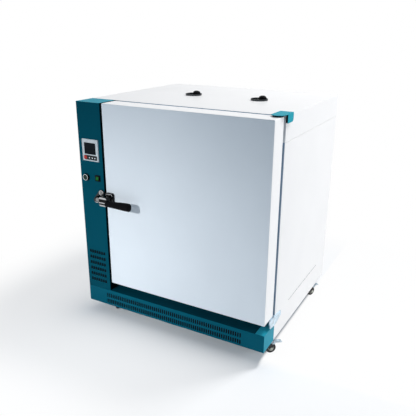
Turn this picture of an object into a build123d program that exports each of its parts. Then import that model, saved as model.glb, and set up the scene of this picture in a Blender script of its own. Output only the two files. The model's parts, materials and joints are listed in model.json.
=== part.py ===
from build123d import *
import math
import os

# Forced-air drying oven on casters. X runs right from the cabinet's left side, Y runs back from the
# front of the control column, and Z runs up from the cabinet's underside. All sizes are in millimetres.
# to_floor() moves the pieces to the part's own origin, the middle of the overall box on the floor.

# Cabinet
CABINET_WIDTH = 1000.0
CABINET_HEIGHT = 1050.0
CABINET_DEPTH = 896.0
SHEET = 2.0
ROOF_SHEET = 1.2
FLANGE = 20.0
LIP_HEIGHT = 40.0
ROOF_SKIRT = 111.0
SKIRT_GAP = 1.2
SKIRT_RETURN = 22.0
ROOF_EDGE_RADIUS = 1.5
PAN_SHEET = 3.0
PAN_FLANGE_HEIGHT = 35.0

# Control column and plinth, which stand ahead of the body
FRONT_DEPTH = 120.0
COLUMN_WIDTH = 140.0
COLUMN_SEAM = 0.8
PLINTH_HEIGHT = 88.0
FRONT_EDGE_RADIUS = 1.5

# Vent slots
COLUMN_SLOT_WIDTH = 10.8
COLUMN_SLOT_HEIGHT = 20.0
COLUMN_SLOT_PITCH = 14.6
COLUMN_SLOTS_PER_ROW = 7
COLUMN_ROW_PITCH = 31.6
COLUMN_ROWS = 6
COLUMN_VENT_RISE = 122.0
PLINTH_SLOT_WIDTH = 8.2
PLINTH_SLOT_HEIGHT = 24.0
PLINTH_SLOT_PITCH = 11.75
PLINTH_SLOTS_PER_ROW = 66
PLINTH_ROW_PITCH = 34.0
PLINTH_VENT_RISE = 39.5
BACK_SLOT_WIDTH = 6.0
BACK_SLOT_HEIGHT = 60.0
BACK_SLOT_PITCH = 14.0
BACK_SLOT_COUNT = 7
BACK_VENT_DROP = 250.0

# Insulation and chamber
LEFT_INSULATION = 46.0
RIGHT_INSULATION = 50.0
ROOF_INSULATION = 86.0
FLOOR_INSULATION = 173.0
REAR_INSULATION = 100.0
CHAMBER_SHEET = 2.0
CHAMBER_FLANGE = 12.0

# Door
DOOR_LEFT_GAP = 11.0
DOOR_RIGHT_INSET = 2.0
DOOR_BOTTOM_GAP = 48.0
DOOR_THICKNESS = 97.0
DOOR_SHEET = 1.5
DOOR_EDGE_RADIUS = 4.0
DOOR_RETURN = 25.0
LINER_SHEET = 1.5
LINER_MARGIN = 8.0
LINER_PAN_DEPTH = 13.5
LINER_PAN_INSET = 30.0
LINER_PAN_RADIUS = 4.0
GASKET_WIDTH = 16.0
GASKET_GAP = 0.3
GASKET_LEFT_LAP = 1.0
GASKET_RIGHT_LAP = 16.0
GASKET_TOP_LAP = 54.0
GASKET_BOTTOM_LAP = 4.0
GASKET_CORNER_RADIUS = 18.0
GASKET_EDGE_RADIUS = 4.0

# Door hinge
HINGE_INSET_X = 22.0
HINGE_BACK_INSET = 13.0
HINGE_PIN_RADIUS = 6.0
RUNNING_CLEARANCE = 0.05
BUSH_WALL = 5.0
BUSH_LENGTH = 46.0
PIN_REACH = 40.0
UPPER_PLATE_THICKNESS = 2.0
UPPER_PLATE_GAP = 6.0
UPPER_NOSE_RADIUS = 28.0
UPPER_PLATE_REACH = 60.0
UPPER_FLANGE_GAP = 7.0
UPPER_FLANGE_LEAD = 6.0
UPPER_FLANGE_DROP = 30.0
UPPER_FLANGE_RADIUS = 14.0
UPPER_FOOT_SETBACK = 10.0
UPPER_FOOT_INSET = 15.0
LOWER_PLATE_THICKNESS = 4.0
LOWER_PLATE_GAP = 2.0
LOWER_STRAP_THICKNESS = 5.0
LOWER_STRAP_LEAD = 70.0
LOWER_STRAP_REACH = 68.0
LOWER_STRAP_FALL = 8.0
LOWER_STRAP_HEIGHT = 22.0
LOWER_STRAP_DROP = 18.0
LOWER_STRAP_RADIUS = 4.0
LOWER_SCREW_RADIUS = 4.0
LOWER_SCREW_HEAD = 1.5
LOWER_SCREW_INSET = 16.0
LOWER_SCREW_DROP = 14.0

# Latch on the door
SPINDLE_INSET = 20.0
SPINDLE_Z = 591.0
SPINDLE_RADIUS = 8.0
SPINDLE_DEPTH = 26.0
LATCH_BASE_WIDTH = 46.0
LATCH_BASE_HEIGHT = 66.0
LATCH_BASE_THICKNESS = 12.0
LATCH_BASE_OFFSET_X = 5.0
LATCH_BASE_OFFSET_Z = 2.0
LATCH_BASE_RADIUS = 8.0
HUB_WIDTH = 48.0
HUB_OFFSET_X = -5.0
HUB_HEIGHT = 46.0
HUB_RADIUS = 12.0
HUB_DEPTH = 37.0
HUB_GAP = 1.0
HUB_SLOT_LENGTH = 26.0
HUB_SLOT_HEIGHT = 3.5
HUB_SLOT_DEPTH = 2.0
HUB_SLOT_SPACING = 14.0
TONGUE_REACH = 54.0
TONGUE_HEIGHT = 17.0
TONGUE_THICKNESS = 6.0
TONGUE_STANDOFF = 14.0
TONGUE_BEVEL = 4.0
GRIP_LENGTH = 139.0
GRIP_STANDOFF = 50.0
GRIP_DEPTH = 28.0
GRIP_NECK_HEIGHT = 28.0
GRIP_MIDDLE_HEIGHT = 33.0
GRIP_END_HEIGHT = 39.0
GRIP_RISE = 2.0
TANG_RADIUS = 5.5
TANG_STANDOFF = 44.0
TANG_LENGTH = 100.0

# Keeper on the column
KEEPER_THICKNESS = 6.0
KEEPER_UPPER_INSET = 16.0
KEEPER_UPPER_RISE = 27.0
KEEPER_LOWER_INSET = 47.5
KEEPER_LOWER_DROP = 14.0
KEEPER_EAR_RADIUS = 15.5
KEEPER_SCREW_RADIUS = 9.0
KEEPER_SCREW_HEAD = 3.5
KEEPER_SCREW_SLOT = 2.4
KEEPER_SHANK_RADIUS = 3.0
KEEPER_SHANK_REACH = 14.0
CHEEK_INSET = 32.0
CHEEK_MARGIN = 2.0
CHEEK_WIDTH = 7.0
ROLLER_RADIUS = 10.0
ROLLER_LENGTH = 20.0
ROLLER_STANDOFF = 30.5
ROLLER_END_GAP = 0.5
ROLLER_PIN_RADIUS = 3.0
ROLLER_PIN_HEAD = 1.5

# Temperature controller
CONTROLLER_OFFSET_X = 2.0
CONTROLLER_Z = 823.0
CONTROLLER_EDGE_RADIUS = 2.0
CONTROLLER_WIDTH = 96.0
CONTROLLER_HEIGHT = 106.0
CONTROLLER_FRONT = 5.0
CONTROLLER_BODY_WIDTH = 90.0
CONTROLLER_BODY_HEIGHT = 100.0
CONTROLLER_BODY_DEPTH = 85.0
PANEL_CLEARANCE = 0.5
SCREEN_SIZE = (69.0, 56.0)
SCREEN_OFFSET = (-0.5, 8.0)
SCREEN_DEPTH = 1.5
KEY_PROUD = 0.8
KEY_DEPTH = 2.9
KEY_TRAVEL = 1.0
KEY_FLOOR_GAP = 0.4
KEY_GAP = 0.3
SET_KEY_OFFSET = (-31.5, -36.0)
SET_KEY_SIZE = (17.0, 16.0)
SET_KEY_RADIUS = 1.5
ROUND_KEY_DROP = 37.0
ROUND_KEY_RADIUS = 5.0
ROUND_KEY_OFFSETS = {"shift_key": -6.0, "down_key": 11.0, "up_key": 27.0}

# Push button and power rocker
BUTTON_INSET = 36.0
BUTTON_Z = 686.0
BUTTON_EDGE_RADIUS = 1.5
BUTTON_RADIUS = 17.25
BUTTON_FRONT = 11.0
BUTTON_BORE_RADIUS = 13.0
BUTTON_CAP_GAP = 0.3
BUTTON_CAP_PROUD = -0.5
BUTTON_CAP_DEPTH = 5.5
BUTTON_TRAVEL = 3.0
BUTTON_BARREL_RADIUS = 11.0
BUTTON_BARREL_DEPTH = 40.0
ROCKER_INSET = 35.0
ROCKER_Z = 688.0
ROCKER_BEZEL_RADIUS = 2.0
ROCKER_BEZEL_SIZE = 30.0
ROCKER_BEZEL_FRONT = 4.0
ROCKER_BODY_SIZE = 27.0
ROCKER_BODY_DEPTH = 25.0
ROCKER_SIZE = 21.0
ROCKER_FRONT = 7.0
ROCKER_BACK = 3.0
ROCKER_PIVOT_DEPTH = 2.0
ROCKER_TILT = 8.0
ROCKER_SIDE_GAP = 0.3
ROCKER_SWING_GAP = 1.6

# Exhaust dampers on the roof
DAMPERS_X = {"left": 362.0, "right": 727.0}
DAMPER_Y = 480.0
COLLAR_RADIUS = 41.5
COLLAR_WALL = 3.5
COLLAR_HEIGHT = 8.0
COLLAR_SEAT = 2.0
TUBE_RADIUS = 30.0
TUBE_WALL = 1.5
ROOF_HOLE_GAP = 0.2
DAMPER_FLOOR = 1.5
DAMPER_GAP = 0.3
DAMPER_THICKNESS = 1.5
DAMPER_EDGE_GAP = 0.6
DAMPER_HUB_RADIUS = 7.0
DAMPER_PIN_RADIUS = 3.0
DAMPER_KNOB_RADIUS = 19.0
DAMPER_KNOB_OFFSET = 17.0
DAMPER_KNOB_SKIRT = 9.0
DAMPER_KNOB_DOME = 11.0

# Inside the chamber
FLOOR_PLATE_RISE = 36.0
FLOOR_MARGIN = 8.0
FLOOR_SLOT_SIZE = (60.0, 10.0)
FLOOR_SLOT_COUNT = (7, 12)
FLOOR_SLOT_PITCH = (95.0, 50.0)
BAFFLE_GAP = 60.0
BAFFLE_HOLE_RADIUS = 80.0
BAFFLE_SLOT_SIZE = (8.0, 70.0)
BAFFLE_COLUMN_COUNT = 6
BAFFLE_SLOT_PITCH_Y = 22.0
BAFFLE_ROW_COUNT = 6
BAFFLE_SLOT_PITCH_Z = 115.0
RAIL_SIZE = 10.0
RAIL_HEIGHTS = (350.0, 500.0, 650.0, 800.0)
RAIL_END_GAP = 20.0
SHELF_RAIL = {"lower": 0, "upper": 2}
SHELF_FRAME_RADIUS = 4.0
SHELF_ROD_RADIUS = 2.5
SHELF_ROD_COUNT = 16
SHELF_SIDE_GAP = 3.0
SHELF_END_GAP = 30.0

# Heaters, fan, probe, relay and gland
HEATER_RADIUS = 5.0
HEATER_DROP = 17.0
HEATER_BEND_RADIUS = 30.0
HEATERS_Y = (230.0, 430.0, 630.0)
HEATER_END_GAP = 20.0
HEATER_TERMINAL = 15.0
HEATER_FLANGE = 4.0
HEATER_FLANGE_MARGIN = 15.0
HOLE_GAP = 0.3
FAN_CENTRE = (450.0, 560.0)
SHAFT_RADIUS = 6.0
SHAFT_HOLE_RADIUS = 12.0
SHAFT_SEAT = 0.02
FAN_RADIUS = 108.0
FAN_HUB_RADIUS = 14.0
FAN_DEPTH = 35.0
FAN_WALL_GAP = 10.0
FAN_PLATE = 2.0
FAN_RING_RADIUS = 80.0
FAN_BLADE_COUNT = 16
FAN_BLADE_LENGTH = 34.0
FAN_BLADE_ANGLE = 25.0
MOTOR_RADIUS = 46.0
MOTOR_LENGTH = 84.0
MOTOR_FIN_COUNT = 7
MOTOR_FIN_HEIGHT = 4.0
MOTOR_FIN_THICKNESS = 3.0
MOTOR_FLANGE_RADIUS = 62.0
MOTOR_FLANGE = 6.0
MOTOR_STANDOFF = 22.0
MOTOR_STANDOFF_RADIUS = 6.0
MOTOR_SHAFT_DEPTH = 37.0
MOTOR_SHAFT_END_GAP = 2.0
PROBE_Y = 300.0
PROBE_DROP = 78.0
PROBE_RADIUS = 3.0
PROBE_REACH = 12.0
PROBE_NUT_RADIUS = 8.0
PROBE_NUT_LENGTH = 8.0
PROBE_HEAD_RADIUS = 5.0
PROBE_HEAD_LENGTH = 20.0
RELAY_PLACE = (360.0, 680.0)
RELAY_LENGTH = 120.0
HEAT_SINK_HEIGHT = 120.0
HEAT_SINK_FIN_DEPTH = 30.0
HEAT_SINK_BASE = 5.0
HEAT_SINK_FIN_COUNT = 9
HEAT_SINK_FIN_THICKNESS = 2.0
RELAY_SIZE = (60.0, 45.0)
RELAY_DEPTH = 23.0
GLAND_INSET = 65.0
GLAND_Z = 150.0
GLAND_CAP_CHAMFER = 2.0
GLAND_BORE_RADIUS = 5.0
GLAND_THREAD_RADIUS = 9.0
GLAND_HEX_RADIUS = 14.0
GLAND_HEX_LENGTH = 6.0
GLAND_CAP_RADIUS = 11.0
GLAND_CAP_LENGTH = 20.0
GLAND_INSIDE = 9.0
GLAND_NUT_LENGTH = 5.0
WIRE_HOLE = (60.0, 100.0)
WIRE_HOLE_CENTRE = (70.0, 500.0)

# Casters, with the angle that each wheel trails in, and whether it has a brake
CASTER_HEIGHT = 68.0
CASTER_PLATE_SIZE = 52.0
CASTER_PLATE = 2.5
CASTER_EDGE_GAP = 3.0
CASTER_REAR_INSET = 172.0
CASTER_FRONT_Y = 101.0
CASTER_LEFT_X = 90.0
CASTER_BOLT_RADIUS = 4.5
CASTER_BOLT_INSET = 7.0
CASTER_BOLT_HEAD = 3.0
RACEWAY_RADIUS = 19.0
RACEWAY_DEPTH = 6.5
RACEWAY_EDGE_RADIUS = 2.0
CASTER_PLATE_RADIUS = 5.0
KINGPIN_RADIUS = 5.0
KINGPIN_HEAD_RADIUS = 7.5
KINGPIN_HEAD = 2.0
CROWN_RADIUS = 20.0
CROWN_THICKNESS = 4.5
SWIVEL_GAP = 0.3
WHEEL_RADIUS = 25.0
WHEEL_WIDTH = 17.0
TYRE_THICKNESS = 6.0
TYRE_EDGE_RADIUS = 4.0
TYRE_SEAT = 0.02
RIM_THICKNESS = 2.5
HUB_BOSS_RADIUS = 8.0
HUB_WEB = 9.0
WHEEL_SIDE_GAP = 0.5
AXLE_RADIUS = 4.0
AXLE_HEAD_RADIUS = 6.5
AXLE_HEAD = 3.0
TRAIL = 24.0
LEG_SPREAD = 11.0
LEG_THICKNESS = 2.5
LEG_TOP_BACK = 12.0
LEG_TOP_FRONT = 36.0
LEG_END_RADIUS = 8.0
BRAKE_PIVOT_X = 30.0
BRAKE_PIVOT_DROP = 14.0
BRAKE_PIN_RADIUS = 2.0
BRAKE_EAR_GAP = 0.3
BRAKE_EAR = 2.0
BRAKE_EAR_RADIUS = 4.0
BRAKE_PLATE_START = 37.0
BRAKE_PLATE = 2.5
BRAKE_REACH = 78.0
BRAKE_HALF_WIDTH = 12.0
BRAKE_SLOPE = 5.0
BRAKE_BRIDGE = 4.0
BRAKE_TIP_RADIUS = 3.0
CASTER_ANGLES = {"front_left": -40.0, "front_right": 44.0, "rear_left": 120.0, "rear_right": 66.0}
BRAKED_CASTERS = ("front_right", "rear_right")

# Groove pressed in the right side panel
GROOVE_FRONT_INSET = 178.0
GROOVE_BACK_INSET = 150.0
GROOVE_Z = 124.0
GROOVE_WIDTH = 2.6
GROOVE_DEPTH = 1.2

# Places worked out from the sizes above
COLUMN_MIDDLE = COLUMN_WIDTH / 2
BODY_FRONT = FRONT_DEPTH
FRAME_BACK = BODY_FRONT + SHEET
BODY_BACK = CABINET_DEPTH
ROOF = CABINET_HEIGHT
ROOF_UNDER = ROOF - ROOF_SHEET
SKIRT_BOTTOM = ROOF - ROOF_SKIRT
PANEL_TOP = SKIRT_BOTTOM - SKIRT_GAP
INNER_RIGHT = CABINET_WIDTH - SHEET
DIVIDER_X = COLUMN_WIDTH
DIVIDER_RIGHT = DIVIDER_X + SHEET
CHAMBER_LEFT = DIVIDER_RIGHT + LEFT_INSULATION + CHAMBER_SHEET
CHAMBER_RIGHT = INNER_RIGHT - SHEET - RIGHT_INSULATION - CHAMBER_SHEET
CHAMBER_FRONT = FRAME_BACK
CHAMBER_BACK = BODY_BACK - 2 * SHEET - REAR_INSULATION - CHAMBER_SHEET
CHAMBER_FLOOR = PAN_SHEET + FLOOR_INSULATION + CHAMBER_SHEET
CHAMBER_ROOF = ROOF_UNDER - SHEET - ROOF_INSULATION - CHAMBER_SHEET
DOOR_LEFT = COLUMN_WIDTH + DOOR_LEFT_GAP
DOOR_RIGHT = CABINET_WIDTH - DOOR_RIGHT_INSET
DOOR_BOTTOM = PLINTH_HEIGHT + DOOR_BOTTOM_GAP
DOOR_TOP = CABINET_HEIGHT
HINGE_X = CABINET_WIDTH - HINGE_INSET_X
HINGE_Y = DOOR_THICKNESS - HINGE_BACK_INSET
BUSH_RADIUS = HINGE_PIN_RADIUS + RUNNING_CLEARANCE + BUSH_WALL
GASKET_LEFT = CHAMBER_LEFT - GASKET_LEFT_LAP - GASKET_WIDTH
GASKET_RIGHT = CHAMBER_RIGHT + GASKET_RIGHT_LAP + GASKET_WIDTH
GASKET_BOTTOM = CHAMBER_FLOOR - GASKET_BOTTOM_LAP - GASKET_WIDTH
GASKET_TOP = CHAMBER_ROOF + GASKET_TOP_LAP + GASKET_WIDTH
HUB_BACK = -LATCH_BASE_THICKNESS - HUB_GAP
HUB_FRONT = HUB_BACK - HUB_DEPTH
SPINDLE_X = DOOR_LEFT + SPINDLE_INSET
HUB_X = SPINDLE_X + HUB_OFFSET_X
GRIP_X = HUB_X + HUB_WIDTH / 2
CHEEK_LEFT = COLUMN_WIDTH - CHEEK_INSET
CHEEK_RIGHT = CHEEK_LEFT + CHEEK_WIDTH
KEEPER_UPPER = (COLUMN_WIDTH - KEEPER_UPPER_INSET, SPINDLE_Z + KEEPER_UPPER_RISE)
KEEPER_LOWER = (COLUMN_WIDTH - KEEPER_LOWER_INSET, SPINDLE_Z - KEEPER_LOWER_DROP)
ROLLER_X = CHEEK_RIGHT + ROLLER_END_GAP
ROLLER_Z = SPINDLE_Z + 1.0
CONTROLLER_CENTRE = (COLUMN_MIDDLE + CONTROLLER_OFFSET_X, CONTROLLER_Z)
SCREEN_CENTRE = (CONTROLLER_CENTRE[0] + SCREEN_OFFSET[0], CONTROLLER_Z + SCREEN_OFFSET[1])
SET_KEY_CENTRE = (CONTROLLER_CENTRE[0] + SET_KEY_OFFSET[0], CONTROLLER_Z + SET_KEY_OFFSET[1])
ROUND_KEY_Z = CONTROLLER_Z - ROUND_KEY_DROP
ROUND_KEYS_X = {name: CONTROLLER_CENTRE[0] + offset for name, offset in ROUND_KEY_OFFSETS.items()}
BUTTON_CENTRE = (BUTTON_INSET, BUTTON_Z)
ROCKER_CENTRE = (COLUMN_WIDTH - ROCKER_INSET, ROCKER_Z)
BAFFLE_X = CHAMBER_LEFT + BAFFLE_GAP
PROBE_PLACE = (PROBE_Y, CHAMBER_ROOF - PROBE_DROP)
GLAND_PLACE = (COLUMN_WIDTH - GLAND_INSET, GLAND_Z)
FLOOR_PLATE_Z = CHAMBER_FLOOR + FLOOR_PLATE_RISE
HEATER_Z = FLOOR_PLATE_Z - HEATER_DROP
FAN_X = CHAMBER_LEFT + FAN_WALL_GAP
MOTOR_FACE_X = DIVIDER_X - MOTOR_STANDOFF
CASTER_REAR_Y = CABINET_DEPTH - CASTER_REAR_INSET
CASTER_RIGHT_X = CABINET_WIDTH - CASTER_EDGE_GAP - CASTER_PLATE_SIZE / 2
CROWN_TOP = -CASTER_PLATE - RACEWAY_DEPTH - SWIVEL_GAP
CROWN_BOTTOM = CROWN_TOP - CROWN_THICKNESS
AXLE_Z = WHEEL_RADIUS - CASTER_HEIGHT
CASTER_PLACES = {
    "front_left": (CASTER_LEFT_X, CASTER_FRONT_Y),
    "front_right": (CASTER_RIGHT_X, CASTER_FRONT_Y),
    "rear_left": (CASTER_LEFT_X, CASTER_REAR_Y),
    "rear_right": (CASTER_RIGHT_X, CASTER_REAR_Y),
}

# The part's origin: the overall box runs from the left side to the front right brake pedal's corner,
# and from the latch grip's front to the cable gland's cap.
FRONT_RIGHT_ANGLE = math.radians(CASTER_ANGLES["front_right"])
PEDAL_REACH = BRAKE_REACH * math.cos(FRONT_RIGHT_ANGLE) + BRAKE_HALF_WIDTH * math.sin(FRONT_RIGHT_ANGLE)
RIGHT_REACH = CASTER_RIGHT_X + PEDAL_REACH
FRONT_REACH = -GRIP_STANDOFF - GRIP_DEPTH / 2
BACK_REACH = BODY_BACK + GLAND_HEX_LENGTH + GLAND_CAP_LENGTH
ORIGIN = (RIGHT_REACH / 2, (FRONT_REACH + BACK_REACH) / 2, -CASTER_HEIGHT)


def to_floor(shape):
    """Move a piece from the cabinet's frame to the part's frame."""
    return Pos(-ORIGIN[0], -ORIGIN[1], -ORIGIN[2]) * shape


def block(x, y, z):
    """A box over a range of X, a range of Y and a range of Z."""
    middle = [(low + high) / 2 for low, high in (x, y, z)]
    size = [high - low for low, high in (x, y, z)]
    return Pos(*middle) * Box(*size)


def centred(middle, size):
    """The range of a given size about a middle."""
    return (middle - size / 2, middle + size / 2)


def rod(axis, radius, along, at):
    """A cylinder along an axis over a range, at the two other coordinates."""
    length = along[1] - along[0]
    middle = (along[0] + along[1]) / 2
    if axis == "x":
        return Pos(middle, at[0], at[1]) * Rot(0, 90, 0) * Cylinder(radius, length)
    if axis == "y":
        return Pos(at[0], middle, at[1]) * Rot(90, 0, 0) * Cylinder(radius, length)
    return Pos(at[0], at[1], middle) * Cylinder(radius, length)


def upright_slot(x, z, width, height, y):
    """A cutter for an upright slot with round ends, through a range of Y."""
    sketch = Plane.XZ.offset(-y[0]) * Pos(x, z) * SlotOverall(height, width, rotation=90)
    return extrude(sketch, -(y[1] - y[0]))


def centred_steps(middle, pitch, count):
    """Evenly spaced places about a middle."""
    return [middle + pitch * (index - (count - 1) / 2) for index in range(count)]


def mirrored_x(shape):
    """The piece's mirror image, from the cabinet's left side to its right side."""
    return Pos(CABINET_WIDTH, 0, 0) * mirror(shape, Plane.YZ)


# Cabinet


def side_panel():
    """Left side panel, with a lip at the top that the roof cover's skirt goes over."""
    outer = block((0, SHEET), (BODY_FRONT, BODY_BACK), (0, PANEL_TOP))
    lip_y = (FRAME_BACK + FLANGE, BODY_BACK - 2 * SHEET)
    return outer + block((SHEET, 2 * SHEET), lip_y, (PANEL_TOP - LIP_HEIGHT, ROOF_UNDER))


def side_panel_right():
    """Right side panel, which has a long groove pressed in it near the bottom."""
    groove_x = (CABINET_WIDTH - GROOVE_DEPTH, CABINET_WIDTH)
    groove_y = (BODY_FRONT + GROOVE_FRONT_INSET, BODY_BACK - GROOVE_BACK_INSET)
    groove = block(groove_x, groove_y, centred(GROOVE_Z, GROOVE_WIDTH))
    return mirrored_x(side_panel()) - groove


def back_panel():
    """Back panel, with vent slots behind the motor space and the cable gland's hole."""
    y = (BODY_BACK - SHEET, BODY_BACK)
    panel = block((SHEET, INNER_RIGHT), y, (0, PANEL_TOP))
    lip_x = (2 * SHEET, INNER_RIGHT - SHEET)
    lip_y = (BODY_BACK - 2 * SHEET, BODY_BACK - SHEET)
    panel += block(lip_x, lip_y, (PANEL_TOP - LIP_HEIGHT, ROOF_UNDER))
    through = (BODY_BACK - 3 * SHEET, BODY_BACK + SHEET)
    slots_x = centred_steps(COLUMN_MIDDLE, BACK_SLOT_PITCH, BACK_SLOT_COUNT)
    slots = [upright_slot(x, ROOF - BACK_VENT_DROP, BACK_SLOT_WIDTH, BACK_SLOT_HEIGHT, through)
             for x in slots_x]
    return panel - slots - rod("y", GLAND_THREAD_RADIUS + ROOF_HOLE_GAP, through, GLAND_PLACE)


def skirt_return():
    """The strip of the roof cover that is folded round onto the front, beside the door's hinge side."""
    x = (CABINET_WIDTH - SKIRT_RETURN, INNER_RIGHT)
    return block(x, (BODY_FRONT, FRAME_BACK), (SKIRT_BOTTOM, ROOF_UNDER))


def top_cover():
    """Roof cover with a skirt at three sides, a return beside the door, and the exhaust holes."""
    cover = block((0, CABINET_WIDTH), (BODY_FRONT, BODY_BACK), (SKIRT_BOTTOM, ROOF))
    edges = cover.faces().sort_by(Axis.Z)[-1].edges()
    cover = fillet(edges, ROOF_EDGE_RADIUS)
    inside_y = (BODY_FRONT - SHEET, BODY_BACK - SHEET)
    cover -= block((SHEET, INNER_RIGHT), inside_y, (SKIRT_BOTTOM - SHEET, ROOF_UNDER))
    hole_radius = COLLAR_RADIUS - COLLAR_SEAT
    holes = [rod("z", hole_radius, (ROOF_UNDER - SHEET, ROOF + SHEET), (x, DAMPER_Y))
             for x in DAMPERS_X.values()]
    return cover + skirt_return() - holes


def chassis():
    """Base pan with side flanges, and the divider between the motor space and the insulation."""
    pan_y = (FRAME_BACK, BODY_BACK - SHEET)
    pan = block((SHEET, INNER_RIGHT), pan_y, (0, PAN_SHEET))
    flange_y = (FRAME_BACK + FLANGE, BODY_BACK - SHEET)
    flange = block((SHEET, 2 * SHEET), flange_y, (0, PAN_FLANGE_HEIGHT))
    divider_y = (FRAME_BACK, BODY_BACK - 2 * SHEET)
    divider = block((DIVIDER_X, DIVIDER_RIGHT), divider_y, (0, ROOF_UNDER - SHEET))
    body = pan + flange + mirrored_x(flange) + divider
    through = (DIVIDER_X - SHEET, DIVIDER_RIGHT + SHEET)
    holes = [rod("x", HEATER_RADIUS + HOLE_GAP, through, place) for place in heater_legs()]
    holes.append(rod("x", SHAFT_HOLE_RADIUS, through, FAN_CENTRE))
    holes.append(rod("x", PROBE_RADIUS + HOLE_GAP, through, PROBE_PLACE))
    return body - holes


def front_frame():
    """Front plate of the body, with the chamber's mouth, and flanges turned back along its edges."""
    plate = block((SHEET, INNER_RIGHT), (BODY_FRONT, FRAME_BACK), (0, ROOF_UNDER))
    flange_y = (FRAME_BACK, FRAME_BACK + FLANGE)
    side = block((SHEET, 2 * SHEET), flange_y, (PAN_SHEET, ROOF_UNDER))
    top = block((SHEET, INNER_RIGHT), flange_y, (ROOF_UNDER - SHEET, ROOF_UNDER))
    through = (BODY_FRONT - SHEET, FRAME_BACK + SHEET)
    mouth = block((CHAMBER_LEFT, CHAMBER_RIGHT), through, (CHAMBER_FLOOR, CHAMBER_ROOF))
    wires_x = centred(WIRE_HOLE_CENTRE[0], WIRE_HOLE[0])
    wires_z = centred(WIRE_HOLE_CENTRE[1], WIRE_HOLE[1])
    wires = block(wires_x, through, wires_z)
    return plate + side + mirrored_x(side) + top - mouth - wires - skirt_return()


def control_column():
    """Column at the left, open at the back, with cut-outs for the controls and rows of vent slots."""
    outer = block((0, COLUMN_WIDTH), (0, BODY_FRONT), (PLINTH_HEIGHT + COLUMN_SEAM, ROOF))
    front = outer.faces().sort_by(Axis.Y)[0].edges()
    outer = fillet(front, FRONT_EDGE_RADIUS)
    inside_z = (PLINTH_HEIGHT + COLUMN_SEAM + SHEET, ROOF - SHEET)
    shell = outer - block((SHEET, COLUMN_WIDTH - SHEET), (SHEET, BODY_FRONT + SHEET), inside_z)
    foot_x = (2 * SHEET, COLUMN_WIDTH - 2 * SHEET)
    shell += block(foot_x, (2 * SHEET, BODY_FRONT), (PLINTH_HEIGHT, PLINTH_HEIGHT + COLUMN_SEAM + SHEET))
    through = (-SHEET, 2 * SHEET)
    gap = 2 * PANEL_CLEARANCE
    cuts = [
        block(
            centred(CONTROLLER_CENTRE[0], CONTROLLER_BODY_WIDTH + gap),
            through,
            centred(CONTROLLER_CENTRE[1], CONTROLLER_BODY_HEIGHT + gap),
        ),
        block(
            centred(ROCKER_CENTRE[0], ROCKER_BODY_SIZE + gap),
            through,
            centred(ROCKER_CENTRE[1], ROCKER_BODY_SIZE + gap),
        ),
        rod("y", BUTTON_BARREL_RADIUS + ROOF_HOLE_GAP, through, BUTTON_CENTRE),
    ]
    for screw in (KEEPER_UPPER, KEEPER_LOWER):
        cuts.append(rod("y", KEEPER_SHANK_RADIUS + ROOF_HOLE_GAP, through, screw))
    for z in centred_steps(PLINTH_HEIGHT + COLUMN_VENT_RISE, COLUMN_ROW_PITCH, COLUMN_ROWS):
        for x in centred_steps(COLUMN_MIDDLE, COLUMN_SLOT_PITCH, COLUMN_SLOTS_PER_ROW):
            cuts.append(upright_slot(x, z, COLUMN_SLOT_WIDTH, COLUMN_SLOT_HEIGHT, through))
    return shell - cuts


def plinth():
    """Plinth across the front, open at the back, with two rows of vent slots."""
    outer = block((0, CABINET_WIDTH), (0, BODY_FRONT), (0, PLINTH_HEIGHT))
    outer = fillet(outer.faces().sort_by(Axis.Y)[0].edges(), FRONT_EDGE_RADIUS)
    inside_z = (SHEET, PLINTH_HEIGHT - SHEET)
    shell = outer - block((SHEET, INNER_RIGHT), (SHEET, BODY_FRONT + SHEET), inside_z)
    slots = []
    for z in centred_steps(PLINTH_VENT_RISE, PLINTH_ROW_PITCH, 2):
        for x in centred_steps(CABINET_WIDTH / 2, PLINTH_SLOT_PITCH, PLINTH_SLOTS_PER_ROW):
            slots.append(upright_slot(x, z, PLINTH_SLOT_WIDTH, PLINTH_SLOT_HEIGHT, (-SHEET, 2 * SHEET)))
    return shell - slots


# Chamber and what is in it


def heater_legs():
    """Places in Y and Z of both legs of each hairpin heater."""
    return [(y + side * HEATER_BEND_RADIUS, HEATER_Z) for y in HEATERS_Y for side in (-1, 1)]


def inner_chamber():
    """Stainless chamber, open at the front, with a flange round its mouth."""
    wall = CHAMBER_SHEET
    outer = block(
        (CHAMBER_LEFT - wall, CHAMBER_RIGHT + wall),
        (CHAMBER_FRONT, CHAMBER_BACK + wall),
        (CHAMBER_FLOOR - wall, CHAMBER_ROOF + wall),
    )
    rim = wall + CHAMBER_FLANGE
    flange = block(
        (CHAMBER_LEFT - rim, CHAMBER_RIGHT + rim),
        (CHAMBER_FRONT, CHAMBER_FRONT + wall),
        (CHAMBER_FLOOR - rim, CHAMBER_ROOF + rim),
    )
    hollow = block(
        (CHAMBER_LEFT, CHAMBER_RIGHT),
        (CHAMBER_FRONT - wall, CHAMBER_BACK),
        (CHAMBER_FLOOR, CHAMBER_ROOF),
    )
    through_wall = (CHAMBER_LEFT - 2 * wall, CHAMBER_LEFT + wall)
    holes = [rod("x", HEATER_RADIUS + HOLE_GAP, through_wall, place) for place in heater_legs()]
    holes.append(rod("x", SHAFT_HOLE_RADIUS, through_wall, FAN_CENTRE))
    holes.append(rod("x", PROBE_RADIUS + HOLE_GAP, through_wall, PROBE_PLACE))
    for x in DAMPERS_X.values():
        holes.append(rod("z", TUBE_RADIUS, (CHAMBER_ROOF - wall, CHAMBER_ROOF + 2 * wall), (x, DAMPER_Y)))
    return outer + flange - hollow - holes


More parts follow.
